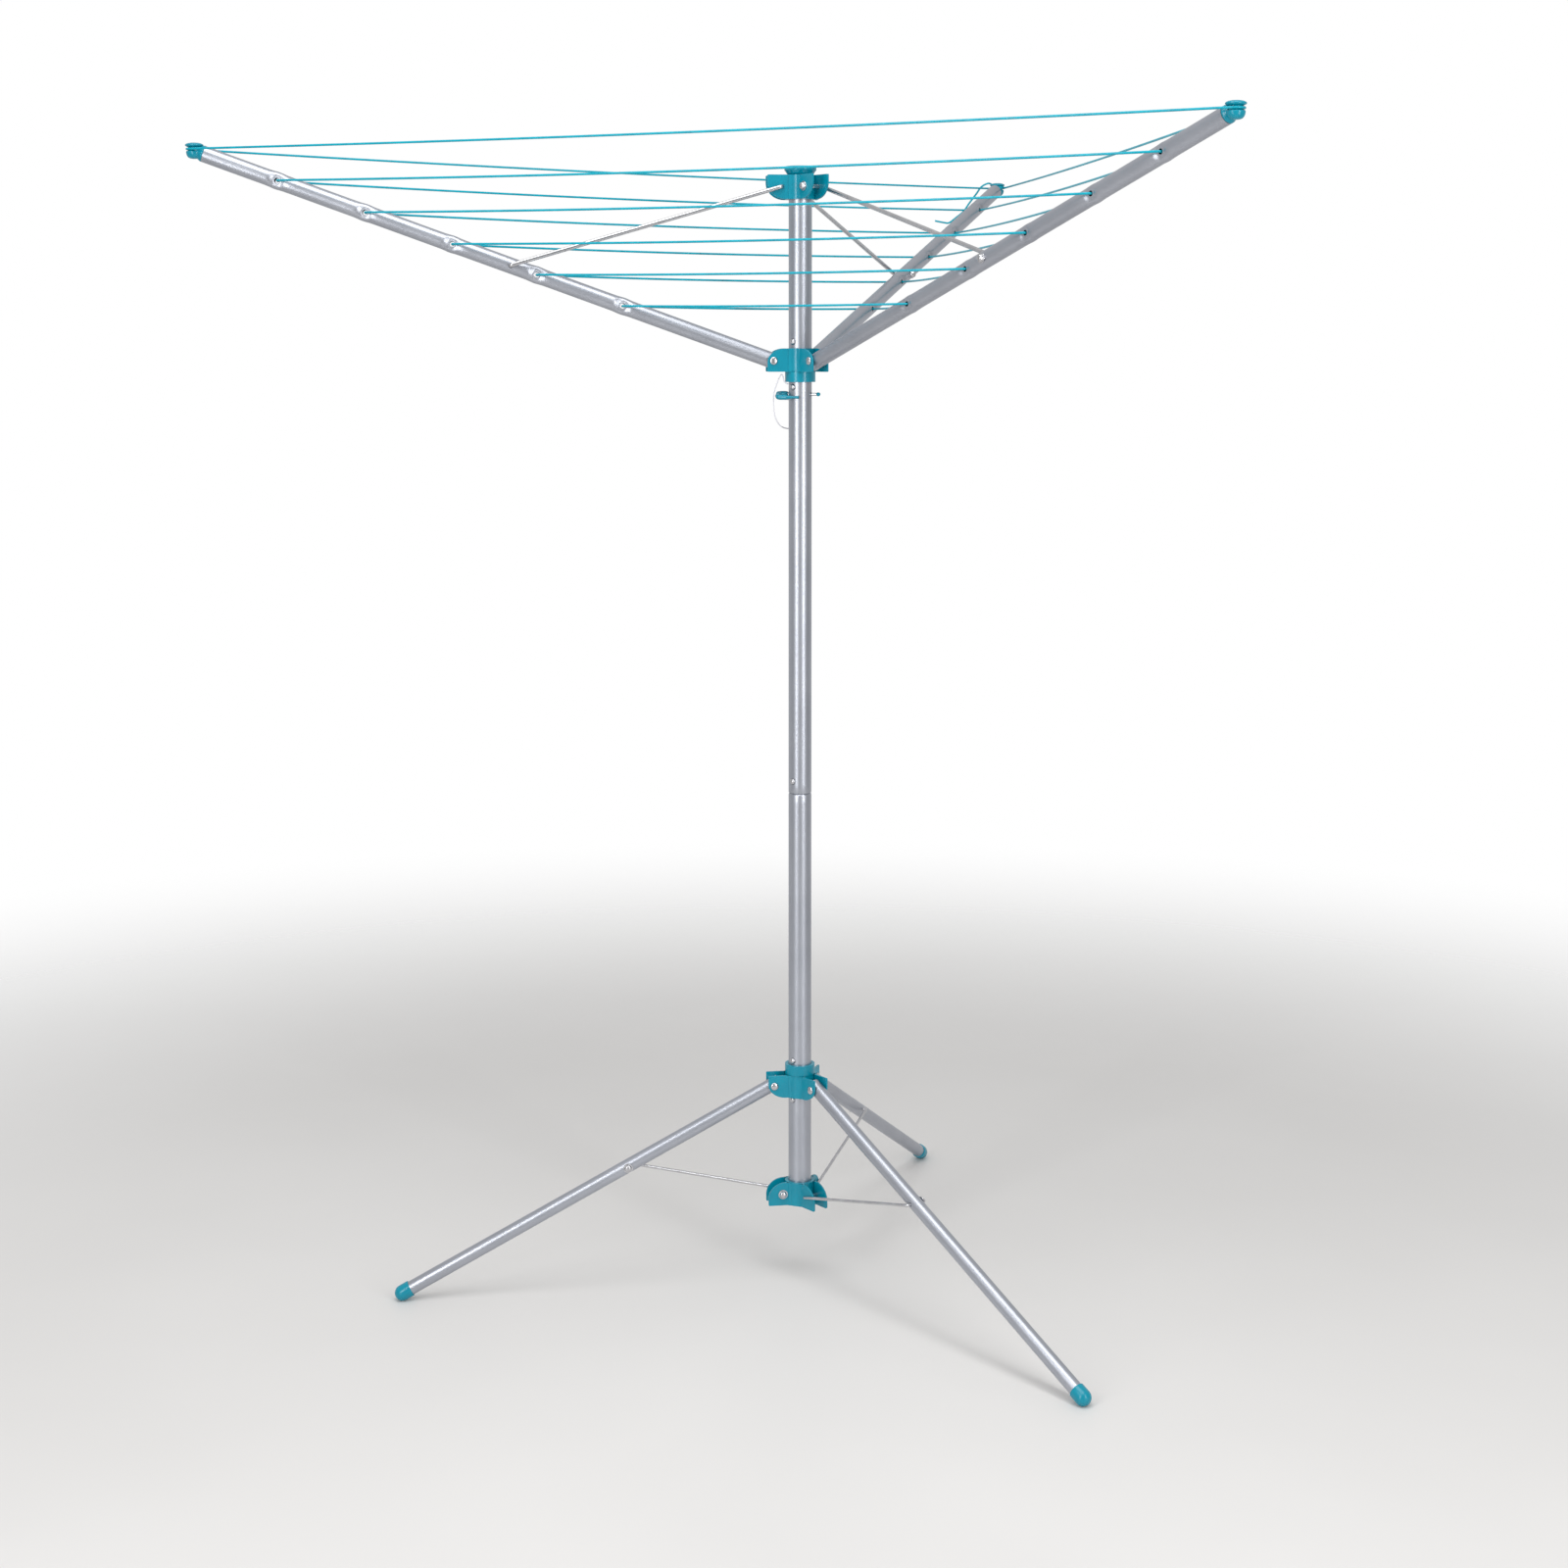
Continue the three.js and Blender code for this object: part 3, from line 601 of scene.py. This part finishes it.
top_profile = [
    (0, 1540), (14.4, 1540), (14.4, TOP_HUB_FLAT_Z + 0.4), (17, TOP_HUB_FLAT_Z + 0.4), (18.2, 1556.6),
    (19.4, 1558.2), (20.4, 1560), (21.4, 1560.9), (22, 1561.8), (22, 1565.4), (21.8, 1566.2),
    (21.2, 1566.8), (20.2, 1567.1), (10, 1567.3), (0, 1567.4),
]
piece("top_cap", solid_mesh("top_cap", lathe(top_profile, 72)), HEAD, "head", "plastic", ["mast_top_cap"],
      sharp=50)


# ---- hubs: ears in pairs round a collar ----


def ear_side(h, shoulder_z):
    """Side view of an ear: flat at 0, a quarter-oval shoulder up to h."""
    points = [(EAR_ROOT_X, 0), (EAR_REACH - 1.2, 0), (EAR_REACH - 0.35, 0.35), (EAR_REACH, 1.2)]
    for i in range(15):
        a = math.pi / 2 * i / 14
        x = EAR_SHOULDER_X + (EAR_REACH - EAR_SHOULDER_X) * math.cos(a)
        points.append((x, shoulder_z + (h - shoulder_z) * math.sin(a)))
    points.append((EAR_ROOT_X, h))
    return points


def hub_shells(gap, h, shoulder_z, bore_r):
    """Shells of a collar and its ears, with the flat face at 0 and the shoulders up."""
    half = gap / 2 + EAR_T
    fy = half + EAR_FILLET
    fx = math.sqrt((COLLAR_R + EAR_FILLET) ** 2 - fy**2)
    split = math.degrees(math.atan2(fy, fx))
    collar = [(bore_r, 0), (COLLAR_R, 0), (COLLAR_R, h), (bore_r, h), (bore_r, 0)]
    shells = [lathe(collar, 96)]
    stand = Matrix.Rotation(math.pi / 2, 4, "X")
    for spoke in SPOKES:
        for side in (1, -1):
            fillet = arc(fx, side * fy, EAR_FILLET, side * (split - 180), side * -90, 8)
            inner = [(fx, side * (half - EAR_T)), (COLLAR_R - 2.2, side * (half - EAR_T)),
                     (COLLAR_R - 3, side * (half + 1))]
            shells.append(placed(prism([*fillet, *inner], 0, h), turn_z(spoke)))
            y = side * (half - EAR_T / 2)
            plate = placed(prism(ear_side(h, shoulder_z), -EAR_T / 2, EAR_T / 2), stand)
            shells.append(placed(plate, turn_z(spoke) @ shift(0, y, 0)))
    return shells


def slide_hub(gap):
    shells = hub_shells(gap, SLIDE_HUB_H, 13, BORE_R)
    ring = [(BORE_R, -SLIDE_RING_H), (COLLAR_R, -SLIDE_RING_H), (COLLAR_R, 1), (BORE_R, 1),
            (BORE_R, -SLIDE_RING_H)]
    return joined(*shells, lathe(ring, 96))


def end_hub(gap, floor):
    shells = hub_shells(gap, END_HUB_H, 10, BORE_R)
    if floor:
        shells.append(lathe([(0, -1.5), (12, -1.5), (12, 0.2), (18, 0.2), (18, floor), (0, floor)], 64))
    return joined(*shells)


HUBS = {
    "arm_hub": (slide_hub(ARM_GAP), shift(0, 0, ARM_HUB_FLAT_Z) @ HEAD, "arm_slider"),
    "leg_hub": (slide_hub(LEG_GAP), shift(0, 0, LEG_HUB_FLAT_Z) @ FLIP, "leg_slider"),
    "bottom_hub": (end_hub(LEG_GAP, 3.5), shift(0, 0, BOTTOM_HUB_FLAT_Z), "base"),
    "top_hub": (end_hub(ARM_GAP, 0), shift(0, 0, TOP_HUB_FLAT_Z) @ HEAD @ FLIP, "head"),
}
for name, (shell, at, body) in HUBS.items():
    piece(name + "_moulding", solid_mesh(name, shell), at, body, "plastic", [name], edge=0.55, sharp=45)


# ---- small hardware, lying along Z before it is placed ----


def dome(r, z, height, steps=9):
    """Profile of a dome of that radius on the plane z, from its rim to its top."""
    made = []
    for i in range(steps + 1):
        a = math.pi / 2 * i / steps
        made.append((r * math.cos(a) if i < steps else 0, z + height * math.sin(a)))
    return made


def rivet(half):
    """Domed at both ends, through both ears."""
    y = half + 0.1
    top = [(3, y), (5.3, y), (5.5, y + 0.3), *dome(5.35, y + 0.5, 1.9)]
    bottom = [(r, -z) for r, z in reversed(top)]
    return lathe([*bottom, *top], 40)


def nut(y, rod_r):
    """Domed push nut on the plane y, with its flange ring."""
    return lathe([(0, y - 1), (rod_r, y - 1), (rod_r, y), (6.5, y), (6.7, y + 0.35), (6.5, y + 0.8),
                  (5.3, y + 0.95), (5.2, y + 1.6), (4.9, y + 3), *dome(4.6, y + 3.5, 2.1)], 40)


def joint_pin(tube_r, rod_r):
    """A pin through a tube, with a domed nut on the side away from the stay."""
    shank = [(0, -tube_r - 0.3), (rod_r, -tube_r - 0.3), (rod_r, tube_r), (0, tube_r)]
    return joined(nut(tube_r + 0.15, rod_r), lathe(shank, 24))


def button_shell(name):
    """A stud that stands out through the mast's wall, with its foot inside."""
    joint = name == "mast_joint_button"
    foot, step, wide = (12.8, 13.6, 4.9) if joint else (12.6, 14.1, 3.8)
    return lathe([(0, foot), (wide, foot), (wide, step), (BUTTON_R, step), (BUTTON_R, 16.2),
                  *dome(BUTTON_R, 16.4, 2.45)], 40)


for name, z in BUTTONS.items():
    at = shift(0, 0, z) @ turn_z(button_turn) @ LAY_X
    piece(name + "_stud", solid_mesh(name, button_shell(name)), at, name + "_stud", "steel", [name])


# ---- legs ----

half_leg = LEG_GAP / 2 + EAR_T
leg_end = LEG_LENGTH - 1.4
leg_shell = lathe([(LEG_R, -9), (LEG_R, leg_end), (LEG_R - WALL, leg_end), (LEG_R - WALL, -9),
                   (LEG_R, -9)], 64)
leg_mesh = solid_mesh("leg_tube", leg_shell, across_hole(LEG_JOINT, 2.6, 24))
boot_top = LEG_LENGTH - 13
boot_profile = [
    (LEG_R + 0.1, boot_top), (FOOT_R - 0.5, boot_top), (FOOT_R - 0.1, boot_top + 0.25),
    (FOOT_R, boot_top + 0.8), (FOOT_R, LEG_LENGTH), *dome(FOOT_R, LEG_LENGTH, FOOT_R, 16)[1:],
    (0, LEG_LENGTH - 1), (LEG_R + 0.1, LEG_LENGTH - 1), (LEG_R + 0.1, boot_top),
]
stay_y = -half_leg - 0.3 - LEG_STAY_R


def flattened(mesh, at):
    """Cuts away what lies under the floor plane, as a foot worn flat."""
    bm = bmesh.new()
    bm.from_mesh(mesh)
    place = at.copy()
    place.translation = at.translation * MM
    local = place.inverted()
    cut = bmesh.ops.bisect_plane(
        bm, geom=[*bm.verts, *bm.edges, *bm.faces], plane_co=local @ Vector((0, 0, 0)),
        plane_no=local.to_3x3() @ Vector((0, 0, -1)), clear_outer=True,
    )
    edges = [e for e in cut["geom_cut"] if isinstance(e, bmesh.types.BMEdge)]
    bmesh.ops.holes_fill(bm, edges=edges)
    bm.to_mesh(mesh)
    bm.free()
    return mesh


for n, spoke in enumerate(SPOKES):
    i = n + 1
    turn = turn_z(spoke)
    along = turn @ LEG @ LAY_X
    piece(f"leg_{i}", leg_mesh.copy(), along, f"leg_{i}", "aluminium", [f"leg_{i}_tube"])
    boot = flattened(solid_mesh("foot", lathe(boot_profile, 64)), along)
    piece(f"leg_{i}_foot", boot, along, f"leg_{i}", "plastic", [f"foot_cap_{i}"], sharp=50)
    at = turn @ shift(PIVOT_X, 0, LEG_PIVOT_Z) @ LAY_Y
    piece(f"leg_{i}_rivet", solid_mesh("rivet", rivet(half_leg)), at, "leg_slider", "steel",
          [f"leg_{i}_pivot_rivet"])
    stay = softened(
        [(STAY_PIVOT_X, half_leg + 3.2, BOTTOM_STAY_Z), (STAY_PIVOT_X, stay_y, BOTTOM_STAY_Z),
         (LEG_STAY_JOINT.x, stay_y, LEG_STAY_JOINT.z),
         (LEG_STAY_JOINT.x, -LEG_R - 0.35, LEG_STAY_JOINT.z)],
        2 * LEG_STAY_R,
    )
    piece(f"leg_{i}_stay", solid_mesh("stay", rod(stay, LEG_STAY_R)), turn, f"leg_brace_{i}", "steel",
          [f"leg_stay_{i}"])
    at = turn @ shift(STAY_PIVOT_X, 0, BOTTOM_STAY_Z) @ LAY_Y
    piece(f"leg_{i}_stay_nut", solid_mesh("nut", nut(half_leg + 0.15, LEG_STAY_R)), at, f"leg_brace_{i}",
          "steel", [f"leg_stay_{i}_hub_nut"])
    at = turn @ LEG @ shift(LEG_JOINT, 0, 0) @ LAY_Y
    piece(f"leg_{i}_joint_pin", solid_mesh("pin", joint_pin(LEG_R, LEG_STAY_R)), at, f"leg_{i}", "steel",
          [f"leg_stay_{i}_leg_pin"])


# ---- arms ----

arm_end = ARM_LENGTH - 13


def arm_shell():
    """A tube along Z, pinched flat at every eyelet, with a raised rim round each hole."""
    sides = 72
    marks = [share * ARM_LENGTH for share in EYELETS]
    stations = [-10.0]
    while stations[-1] < arm_end:
        near = min(abs(stations[-1] - m) for m in marks)
        stations.append(min(stations[-1] + (0.75 if near < 15 else 8), arm_end))

    def surface(z, k, wall):
        a = 2 * math.pi * k / sides
        x, y = math.cos(a), math.sin(a)
        m = min(marks, key=lambda v: abs(v - z))
        d = z - m
        swell = 0.8 * math.exp(-((d / 8) ** 2))
        r = ARM_R - wall
        px, py = x * (r + swell), y * r
        dent = math.exp(-((abs(d) / 9.2) ** 3) - (abs(px) / 8.2) ** 3)
        rho = math.hypot(d, px)
        lip = 0.55 * math.exp(-(((rho - EYELET_HOLE_R - 0.7) / 0.8) ** 2))
        py -= math.copysign(EYELET_PINCH * dent - (lip if wall == 0 else 0), py) if abs(py) > 1e-6 else 0
        return (px, py, z)

    points = []
    for wall, zs in ((0, stations), (WALL, reversed(stations))):
        for z in zs:
            points += [surface(z, k, wall) for k in range(sides)]
    count = 2 * len(stations)
    faces = []
    for s in range(count):
        low, high = s * sides, ((s + 1) % count) * sides
        for k in range(sides):
            j = (k + 1) % sides
            faces.append((low + k, low + j, high + j, high + k))
    return points, faces


half_arm = ARM_GAP / 2 + EAR_T
eyelet_holes = [across_hole(share * ARM_LENGTH, EYELET_HOLE_R) for share in EYELETS]
arm_mesh = solid_mesh("arm_tube", arm_shell(), joined(across_hole(ARM_JOINT, 3.5), *eyelet_holes))

plug_profile = [
    (0, arm_end - 12), (9.3, arm_end - 12), (9.7, arm_end - 11), (9.7, arm_end + 0.3),
    (ARM_R - 0.3, arm_end + 0.3), (ARM_R, arm_end + 0.7), (ARM_R, arm_end + 1.8),
    (10.6, arm_end + 3), (8, arm_end + 8), (0, arm_end + 8),
]
tip_profile = [
    (0, -11), (3, -10.95), (5.6, -10.5), (7.6, -9.6), (9, -8.2), (10, -6.4), (10.6, -4.4), (10.9, -2.4),
    (10.7, -1.3), (9.9, -0.6), (8.4, -0.35), (8, 0), (8, 4), (8.6, 4.4), (11.2, 5.6), (12, 6.3), (12.2, 7),
    (12, 7.7), (11, 8.6), (9, 9.5), (6, 10.15), (3, 10.45), (0, 10.5),
]
arm_stay_y = half_arm + 0.3 + ARM_STAY_R

for n, spoke in enumerate(SPOKES):
    i = n + 1
    turn = HEAD @ turn_z(spoke)
    along = turn @ ARM @ LAY_X
    # the tube's own X is up across the arm, so its dents face sideways
    piece(f"arm_{i}", arm_mesh.copy(), along, f"arm_{i}", "aluminium", [f"arm_{i}_tube"], sharp=50)
    cap = joined(
        placed(lathe(plug_profile, 64), ARM @ LAY_X),
        placed(lathe(tip_profile, 64), shift(ARM_TIP_X, 0, ARM_TIP_Z)),
    )
    piece(f"arm_{i}_tip", solid_mesh("tip", cap), turn, f"arm_{i}", "plastic", [f"arm_tip_cap_{i}"], sharp=50)
    at = turn @ shift(PIVOT_X, 0, ARM_PIVOT_Z) @ LAY_Y
    piece(f"arm_{i}_rivet", solid_mesh("rivet", rivet(half_arm)), at, "arm_slider", "steel",
          [f"arm_{i}_pivot_rivet"])
    stay = softened(
        [(STAY_PIVOT_X, -half_arm - 3.2, TOP_STAY_Z), (STAY_PIVOT_X, arm_stay_y, TOP_STAY_Z),
         (ARM_STAY_JOINT.x, arm_stay_y, ARM_STAY_JOINT.z),
         (ARM_STAY_JOINT.x, ARM_R + 0.35, ARM_STAY_JOINT.z)],
        5.5,
    )
    piece(f"arm_{i}_stay", solid_mesh("stay", rod(stay, ARM_STAY_R)), turn, f"arm_brace_{i}", "steel",
          [f"arm_stay_{i}"])
    back = turn_z(180)
    at = turn @ shift(STAY_PIVOT_X, 0, TOP_STAY_Z) @ back @ LAY_Y
    piece(f"arm_{i}_stay_nut", solid_mesh("nut", nut(half_arm + 0.15, ARM_STAY_R)), at, f"arm_brace_{i}",
          "steel", [f"arm_stay_{i}_hub_nut"])
    at = turn @ ARM @ shift(ARM_JOINT, 0, 0) @ back @ LAY_Y
    piece(f"arm_{i}_joint_pin", solid_mesh("pin", joint_pin(ARM_R, ARM_STAY_R)), at, f"arm_{i}", "steel",
          [f"arm_stay_{i}_arm_pin"])


# ---- clothesline: each span in two halves, each riding on the arm that holds it ----

FOLD = math.radians(ARM_FOLDED) - ARM_ANGLE
slide = next(j for j in frame["joints"] if j["name"] == "arm_hub_slide")
DROP = min(slide["range_m"]) / MM
# for each round, how far from the mast's axis its two half spans are aimed to end when folded, clear of stays
# and pin
MEET_R = [34, 34, 22, 60, 50, 48]
# a folded half span is aimed at a point HANG of its length squared away
HANG = 0.6


def folded(point):
    """Where a point of an arm, in the spoke's own frame, goes when the arms are folded."""
    x, y, z = point.x - PIVOT_X, point.y, point.z - ARM_PIVOT_Z
    c, s = math.cos(FOLD), math.sin(FOLD)
    return Vector((PIVOT_X + x * c - z * s, y, ARM_PIVOT_Z + DROP + x * s + z * c))


def half_span(name, n, start, side, sag, meet, crossing=False):
    """Half of the span from a point on arm n to its neighbour on that side, and its length."""
    turn = HEAD @ turn_z(SPOKES[n])
    mirror = Vector((math.cos(math.radians(60)), side * math.sin(math.radians(60)), 0))
    normal = Vector((-mirror.y, mirror.x, 0))
    # the whole span is symmetric about the plane half-way between the arms
    middle = start - normal * start.dot(normal)
    path = [Vector((start.x, 0, start.z))] if crossing else []
    for i in range(13):
        t = i / 12
        p = start.lerp(middle, t)
        path.append(p - Vector((0, 0, sag * (1 - (1 - t) ** 2))))
    path.append(path[-1] + (middle - start).normalized() * 0.3)
    obj = piece(name, solid_mesh(name, rod(path, LINE_R, 12)), turn, f"arm_{n + 1}", "line",
                ["clothesline"], sharp=60)
    # folded, the half span would hang from its arm towards its other half beside the mast; that direction is
    # worked out here but not applied to the piece
    reach = (path[-1] - start).length
    flat = mirror * meet - folded(start).xy.to_3d()
    flat.z = 0
    down = math.sqrt(max(reach**2 * HANG - flat.length**2, 1))
    hung = Vector((flat.x, flat.y, -down)).normalized()
    hung = Matrix.Rotation(FOLD, 3, "Y") @ hung
    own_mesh(obj)
    return reach


SIDES = ((1, "l"), (-1, "r"))
total = 0
for k, share in enumerate(EYELETS):
    for n in range(3):
        for side, letter in SIDES:
            start = ARM @ Vector((share * ARM_LENGTH, 0, 0))
            start.y = side * LINE_CROSS
            total += LINE_CROSS + half_span(f"line_{k + 1}_arm_{n + 1}_{letter}", n, start, side,
                                            SAG_FIRST + k * SAG_STEP, MEET_R[k], crossing=True)

wrap_x = ARM_TIP_X + WRAP_R * math.cos(math.radians(WRAP_ANGLE))
wrap_y = WRAP_R * math.sin(math.radians(WRAP_ANGLE))
for n in range(3):
    for side, letter in SIDES:
        start = Vector((wrap_x, side * wrap_y, ARM_TIP_Z + GROOVE_Z))
        total += half_span(f"line_6_arm_{n + 1}_{letter}", n, start, side, SAG_OUTER, MEET_R[5])


def wrap(start, end, lift=0.0, r=WRAP_R, climb=0.0, steps=16):
    """Points round the groove of an arm's tip, in the spoke's own frame, angles in degrees."""
    made = []
    for i in range(steps + 1):
        t = i / steps
        a = math.radians(start + (end - start) * t)
        z = ARM_TIP_Z + GROOVE_Z + lift + climb * t
        made.append(Vector((ARM_TIP_X + r * math.cos(a), r * math.sin(a), z)))
    return made


for n in range(2):
    turn = HEAD @ turn_z(SPOKES[n])
    around = wrap(-WRAP_ANGLE, WRAP_ANGLE)
    total += arc_length(around)
    piece(f"line_wrap_{n + 1}", solid_mesh("wrap", rod(around, LINE_R, 12)), turn, f"arm_{n + 1}", "line",
          sharp=60)

# on arm 3 the line runs inside the tube from eyelet to eyelet, comes out under the tip and is tied off
turn = HEAD @ turn_z(SPOKES[2])
inside = [ARM @ Vector((EYELETS[0] * ARM_LENGTH - 16, 0, 6)), ARM @ Vector((ARM_LENGTH - 30, 0, 6)),
          ARM @ Vector((ARM_LENGTH - 17, 0, 0))]
out = [ARM @ Vector((ARM_LENGTH - 15, -2, -6)), Vector((ARM_TIP_X - 11, -7, ARM_TIP_Z - 5)),
       *wrap(-125, WRAP_ANGLE)]
TIES = {
    "line_inside": softened(inside, 3),
    "line_tie_inner": softened(out, 3, 4),
    "line_tie_outer": wrap(-WRAP_ANGLE, 300, 0.4, 10.6, 1.1, 48),
}
for name, path in TIES.items():
    piece(name, solid_mesh(name, rod(path, LINE_R, 12)), turn, "arm_3", "line", sharp=60)


def knot_path():
    """A small overhand knot round the line, as a trefoil."""
    made = []
    for i in range(49):
        a = 2 * math.pi * i / 48
        x = math.sin(a) + 2 * math.sin(2 * a)
        y = math.cos(a) - 2 * math.cos(2 * a)
        z = -math.sin(3 * a)
        made.append(Vector((z * 1.25, x * 1.15, y * 1.15)))
    return made


KNOT_X = 12.8
KNOT = Vector((ARM_TIP_X + KNOT_X, 0, ARM_TIP_Z + GROOVE_Z))
knot_mesh = solid_mesh("knot", rod(knot_path(), LINE_R * 0.95, 10))
piece("line_knot", knot_mesh, turn @ shift(*KNOT), "arm_3", "line", sharp=60)

# the loose end: how far each point lies to the left of the knot, as the photo shows it, and above it
TAIL = [(31, 3), (39, -8), (51, -24), (60, -37), (72, -47), (84, -56), (92, -56), (108, -53)]
tail = [Vector(p) + Vector((ARM_TIP_X, 0, ARM_TIP_Z))
        for p in ((KNOT_X, 0, GROOVE_Z), (14.6, 6, 4.6), (12, 13, 9), (5.2, 18.6, 10.8))]
for left, up in TAIL:
    tail.append(KNOT + Vector((-0.4 * left, 0.916 * left, up)))
tail_path = [turn @ p for p in smooth_path(tail, 6)]
tail_mesh = solid_mesh("tail", rod(tail_path, LINE_R, 12))
tail_obj = piece("line_tail", tail_mesh, IDENTITY, "arm_3", "line", sharp=60)
arc_length(tail_path) * MM


# ---- locking pin, its handle and tether ----

shank = lathe([(0, -23.4), (PIN_R, -23.4), (PIN_R, 26), (0, 26)], 32)
piece("pin_shank", solid_mesh("shank", shank), pin_frame @ LAY_X, "pin", "steel", ["locking_pin"])
tip_ball = lathe([(0, -28.8), (1, -28.6), (1.9, -28), (2.5, -27), (2.8, -25.8), (2.5, -24.6), (2, -23.9),
                  (1.4, -23.6), (0, -23.6)], 32)
piece("pin_tip", solid_mesh("ball", tip_ball), pin_frame @ LAY_X, "pin", "plastic", ["locking_pin_tip"],
      sharp=60)
grip = placed(lathe([(0, 17.4), (3.2, 17.4), (3.5, 17.6), (4.2, 19), (4.5, 23), (4.4, 27), (4.1, 30),
                     (3.5, 32.9), (2, 34.2), (0, 34.6)], 32), LAY_X)
bend = [(27, 0, 0), (29.5, 11, -2), (26, FINGER_Y - 0.4, -4), (14, FINGER_Y, -4)]
bridge = rod(softened(bend, 9), 3.5, 24)
finger = placed(lathe([(0, -3.6), (0.9, -3.4), (1.6, -2.8), (2.1, -1.4), (2, 0), (1.55, 2.2), (1.4, 4),
                       (1.9, 8), (2.6, 12), (3.2, 20), (3.3, 25), (0, 26)], 32),
                shift(0, FINGER_Y, -4) @ LAY_X)
piece("pin_handle", solid_mesh("handle", joined(grip, bridge, finger)), pin_frame, "pin", "plastic",
      ["locking_pin_handle"], sharp=60)

# the tether's route, with X to the right and Y away from the camera: up to a loop, then round behind the mast
TETHER = [
    (-15.2, -6.4, 1270), (-20, -7.4, 1271.4), (-22.7, -8, 1275.5), (-23.6, -8.3, 1280.6),
    (-25.7, -8.3, 1283.2), (-28.2, -8, 1280), (-32.8, -7, 1269), (-36.4, -6, 1257), (-36.7, -4, 1243),
    (-35.4, -1, 1228), (-31, 4, 1216.5), (-24, 10.5, 1210), (-13, 17.2, 1208), (0, 21, 1211),
    (5, 21, 1224), (2, 21, 1238), (-10, 19.8, 1246), (-22, 13.5, 1250),
]
from_front = turn_z(-9.4)
tether_path = [from_front @ p for p in smooth_path(TETHER, 5)]
tether = piece("tether", solid_mesh("tether", rod(tether_path, TETHER_R, 12)), IDENTITY, "head", "cord",
               ["tether_cord"], sharp=60)
# it hangs between two bodies, so it lets go of the one that piece() gave it
tether.parent = None
del tether["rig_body"]
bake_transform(tether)
arc_length(tether_path) * MM


# ---- studio ----


def area_light(name, place, target, size, power):
    data = bpy.data.lights.new(name, "AREA")
    data.shape = "RECTANGLE"
    data.size, data.size_y = size
    data.energy = power
    lamp = bpy.data.objects.new(name, data)
    bpy.context.scene.collection.objects.link(lamp)
    lamp.location = place
    lamp.rotation_euler = (Vector(target) - Vector(place)).to_track_quat("-Z", "Y").to_euler()


floor_mesh = bpy.data.meshes.new("floor")
floor_rim = arc(0, 0, FLOOR_GONE + 0.1, 0, 355, 71)
floor_mesh.from_pydata([(x, y, 0) for x, y in floor_rim], [], [tuple(range(len(floor_rim)))])
floor_mesh.materials.append(floor_look())
keep_places(floor_mesh)
floor = bpy.data.objects.new("floor", floor_mesh)
bpy.context.scene.collection.objects.link(floor)
floor.location.z = FLOOR_Z

world = bpy.data.worlds.new("studio")
bpy.context.scene.world = world
world.use_nodes = True
sky = world.node_tree
background = sky.nodes["Background"]
background.inputs["Color"].default_value = (1, 1, 1, 1)
# the room is bright behind the object and dimmer in front of it; its backdrop is plain white
direction = sky.nodes.new("ShaderNodeTexCoord")
split = sky.nodes.new("ShaderNodeSeparateXYZ")
dim = sky.nodes.new("ShaderNodeMapRange")
dim.interpolation_type = "SMOOTHSTEP"
dim.inputs["From Min"].default_value = -0.35
dim.inputs["From Max"].default_value = 0.55
dim.inputs["To Min"].default_value = 0.40
dim.inputs["To Max"].default_value = 0.66
seen = sky.nodes.new("ShaderNodeLightPath")
pick = sky.nodes.new("ShaderNodeMix")
pick.inputs[3].default_value = 1.0
sky.links.new(direction.outputs["Generated"], split.inputs["Vector"])
sky.links.new(split.outputs["Y"], dim.inputs["Value"])
sky.links.new(seen.outputs["Is Camera Ray"], pick.inputs[0])
sky.links.new(dim.outputs["Result"], pick.inputs[2])
sky.links.new(pick.outputs[0], background.inputs["Strength"])

area_light("left strip", (-1.9, -2.0, 1.6), (0, 0, 1.5), (0.55, 2.7), 36)
area_light("right strip", (1.25, -2.55, 1.6), (0, 0, 1.5), (0.50, 2.7), 37)
area_light("top", (-0.3, -1.0, 3.6), (0, 0, 0.6), (2.4, 1.8), 50)

camera_data = bpy.data.cameras.new("camera")
camera_data.lens = CAMERA_LENS
camera_data.sensor_width = 36
camera_data.shift_y = CAMERA_SHIFT
camera = bpy.data.objects.new("camera", camera_data)
bpy.context.scene.collection.objects.link(camera)
camera.location = CAMERA_PLACE
camera.rotation_euler = (math.radians(90 - CAMERA_DOWN), 0, math.radians(CAMERA_TURN))
bpy.context.scene.camera = camera
bpy.context.scene.view_settings.view_transform = "Standard"

print("line length m", round(total * MM, 2))
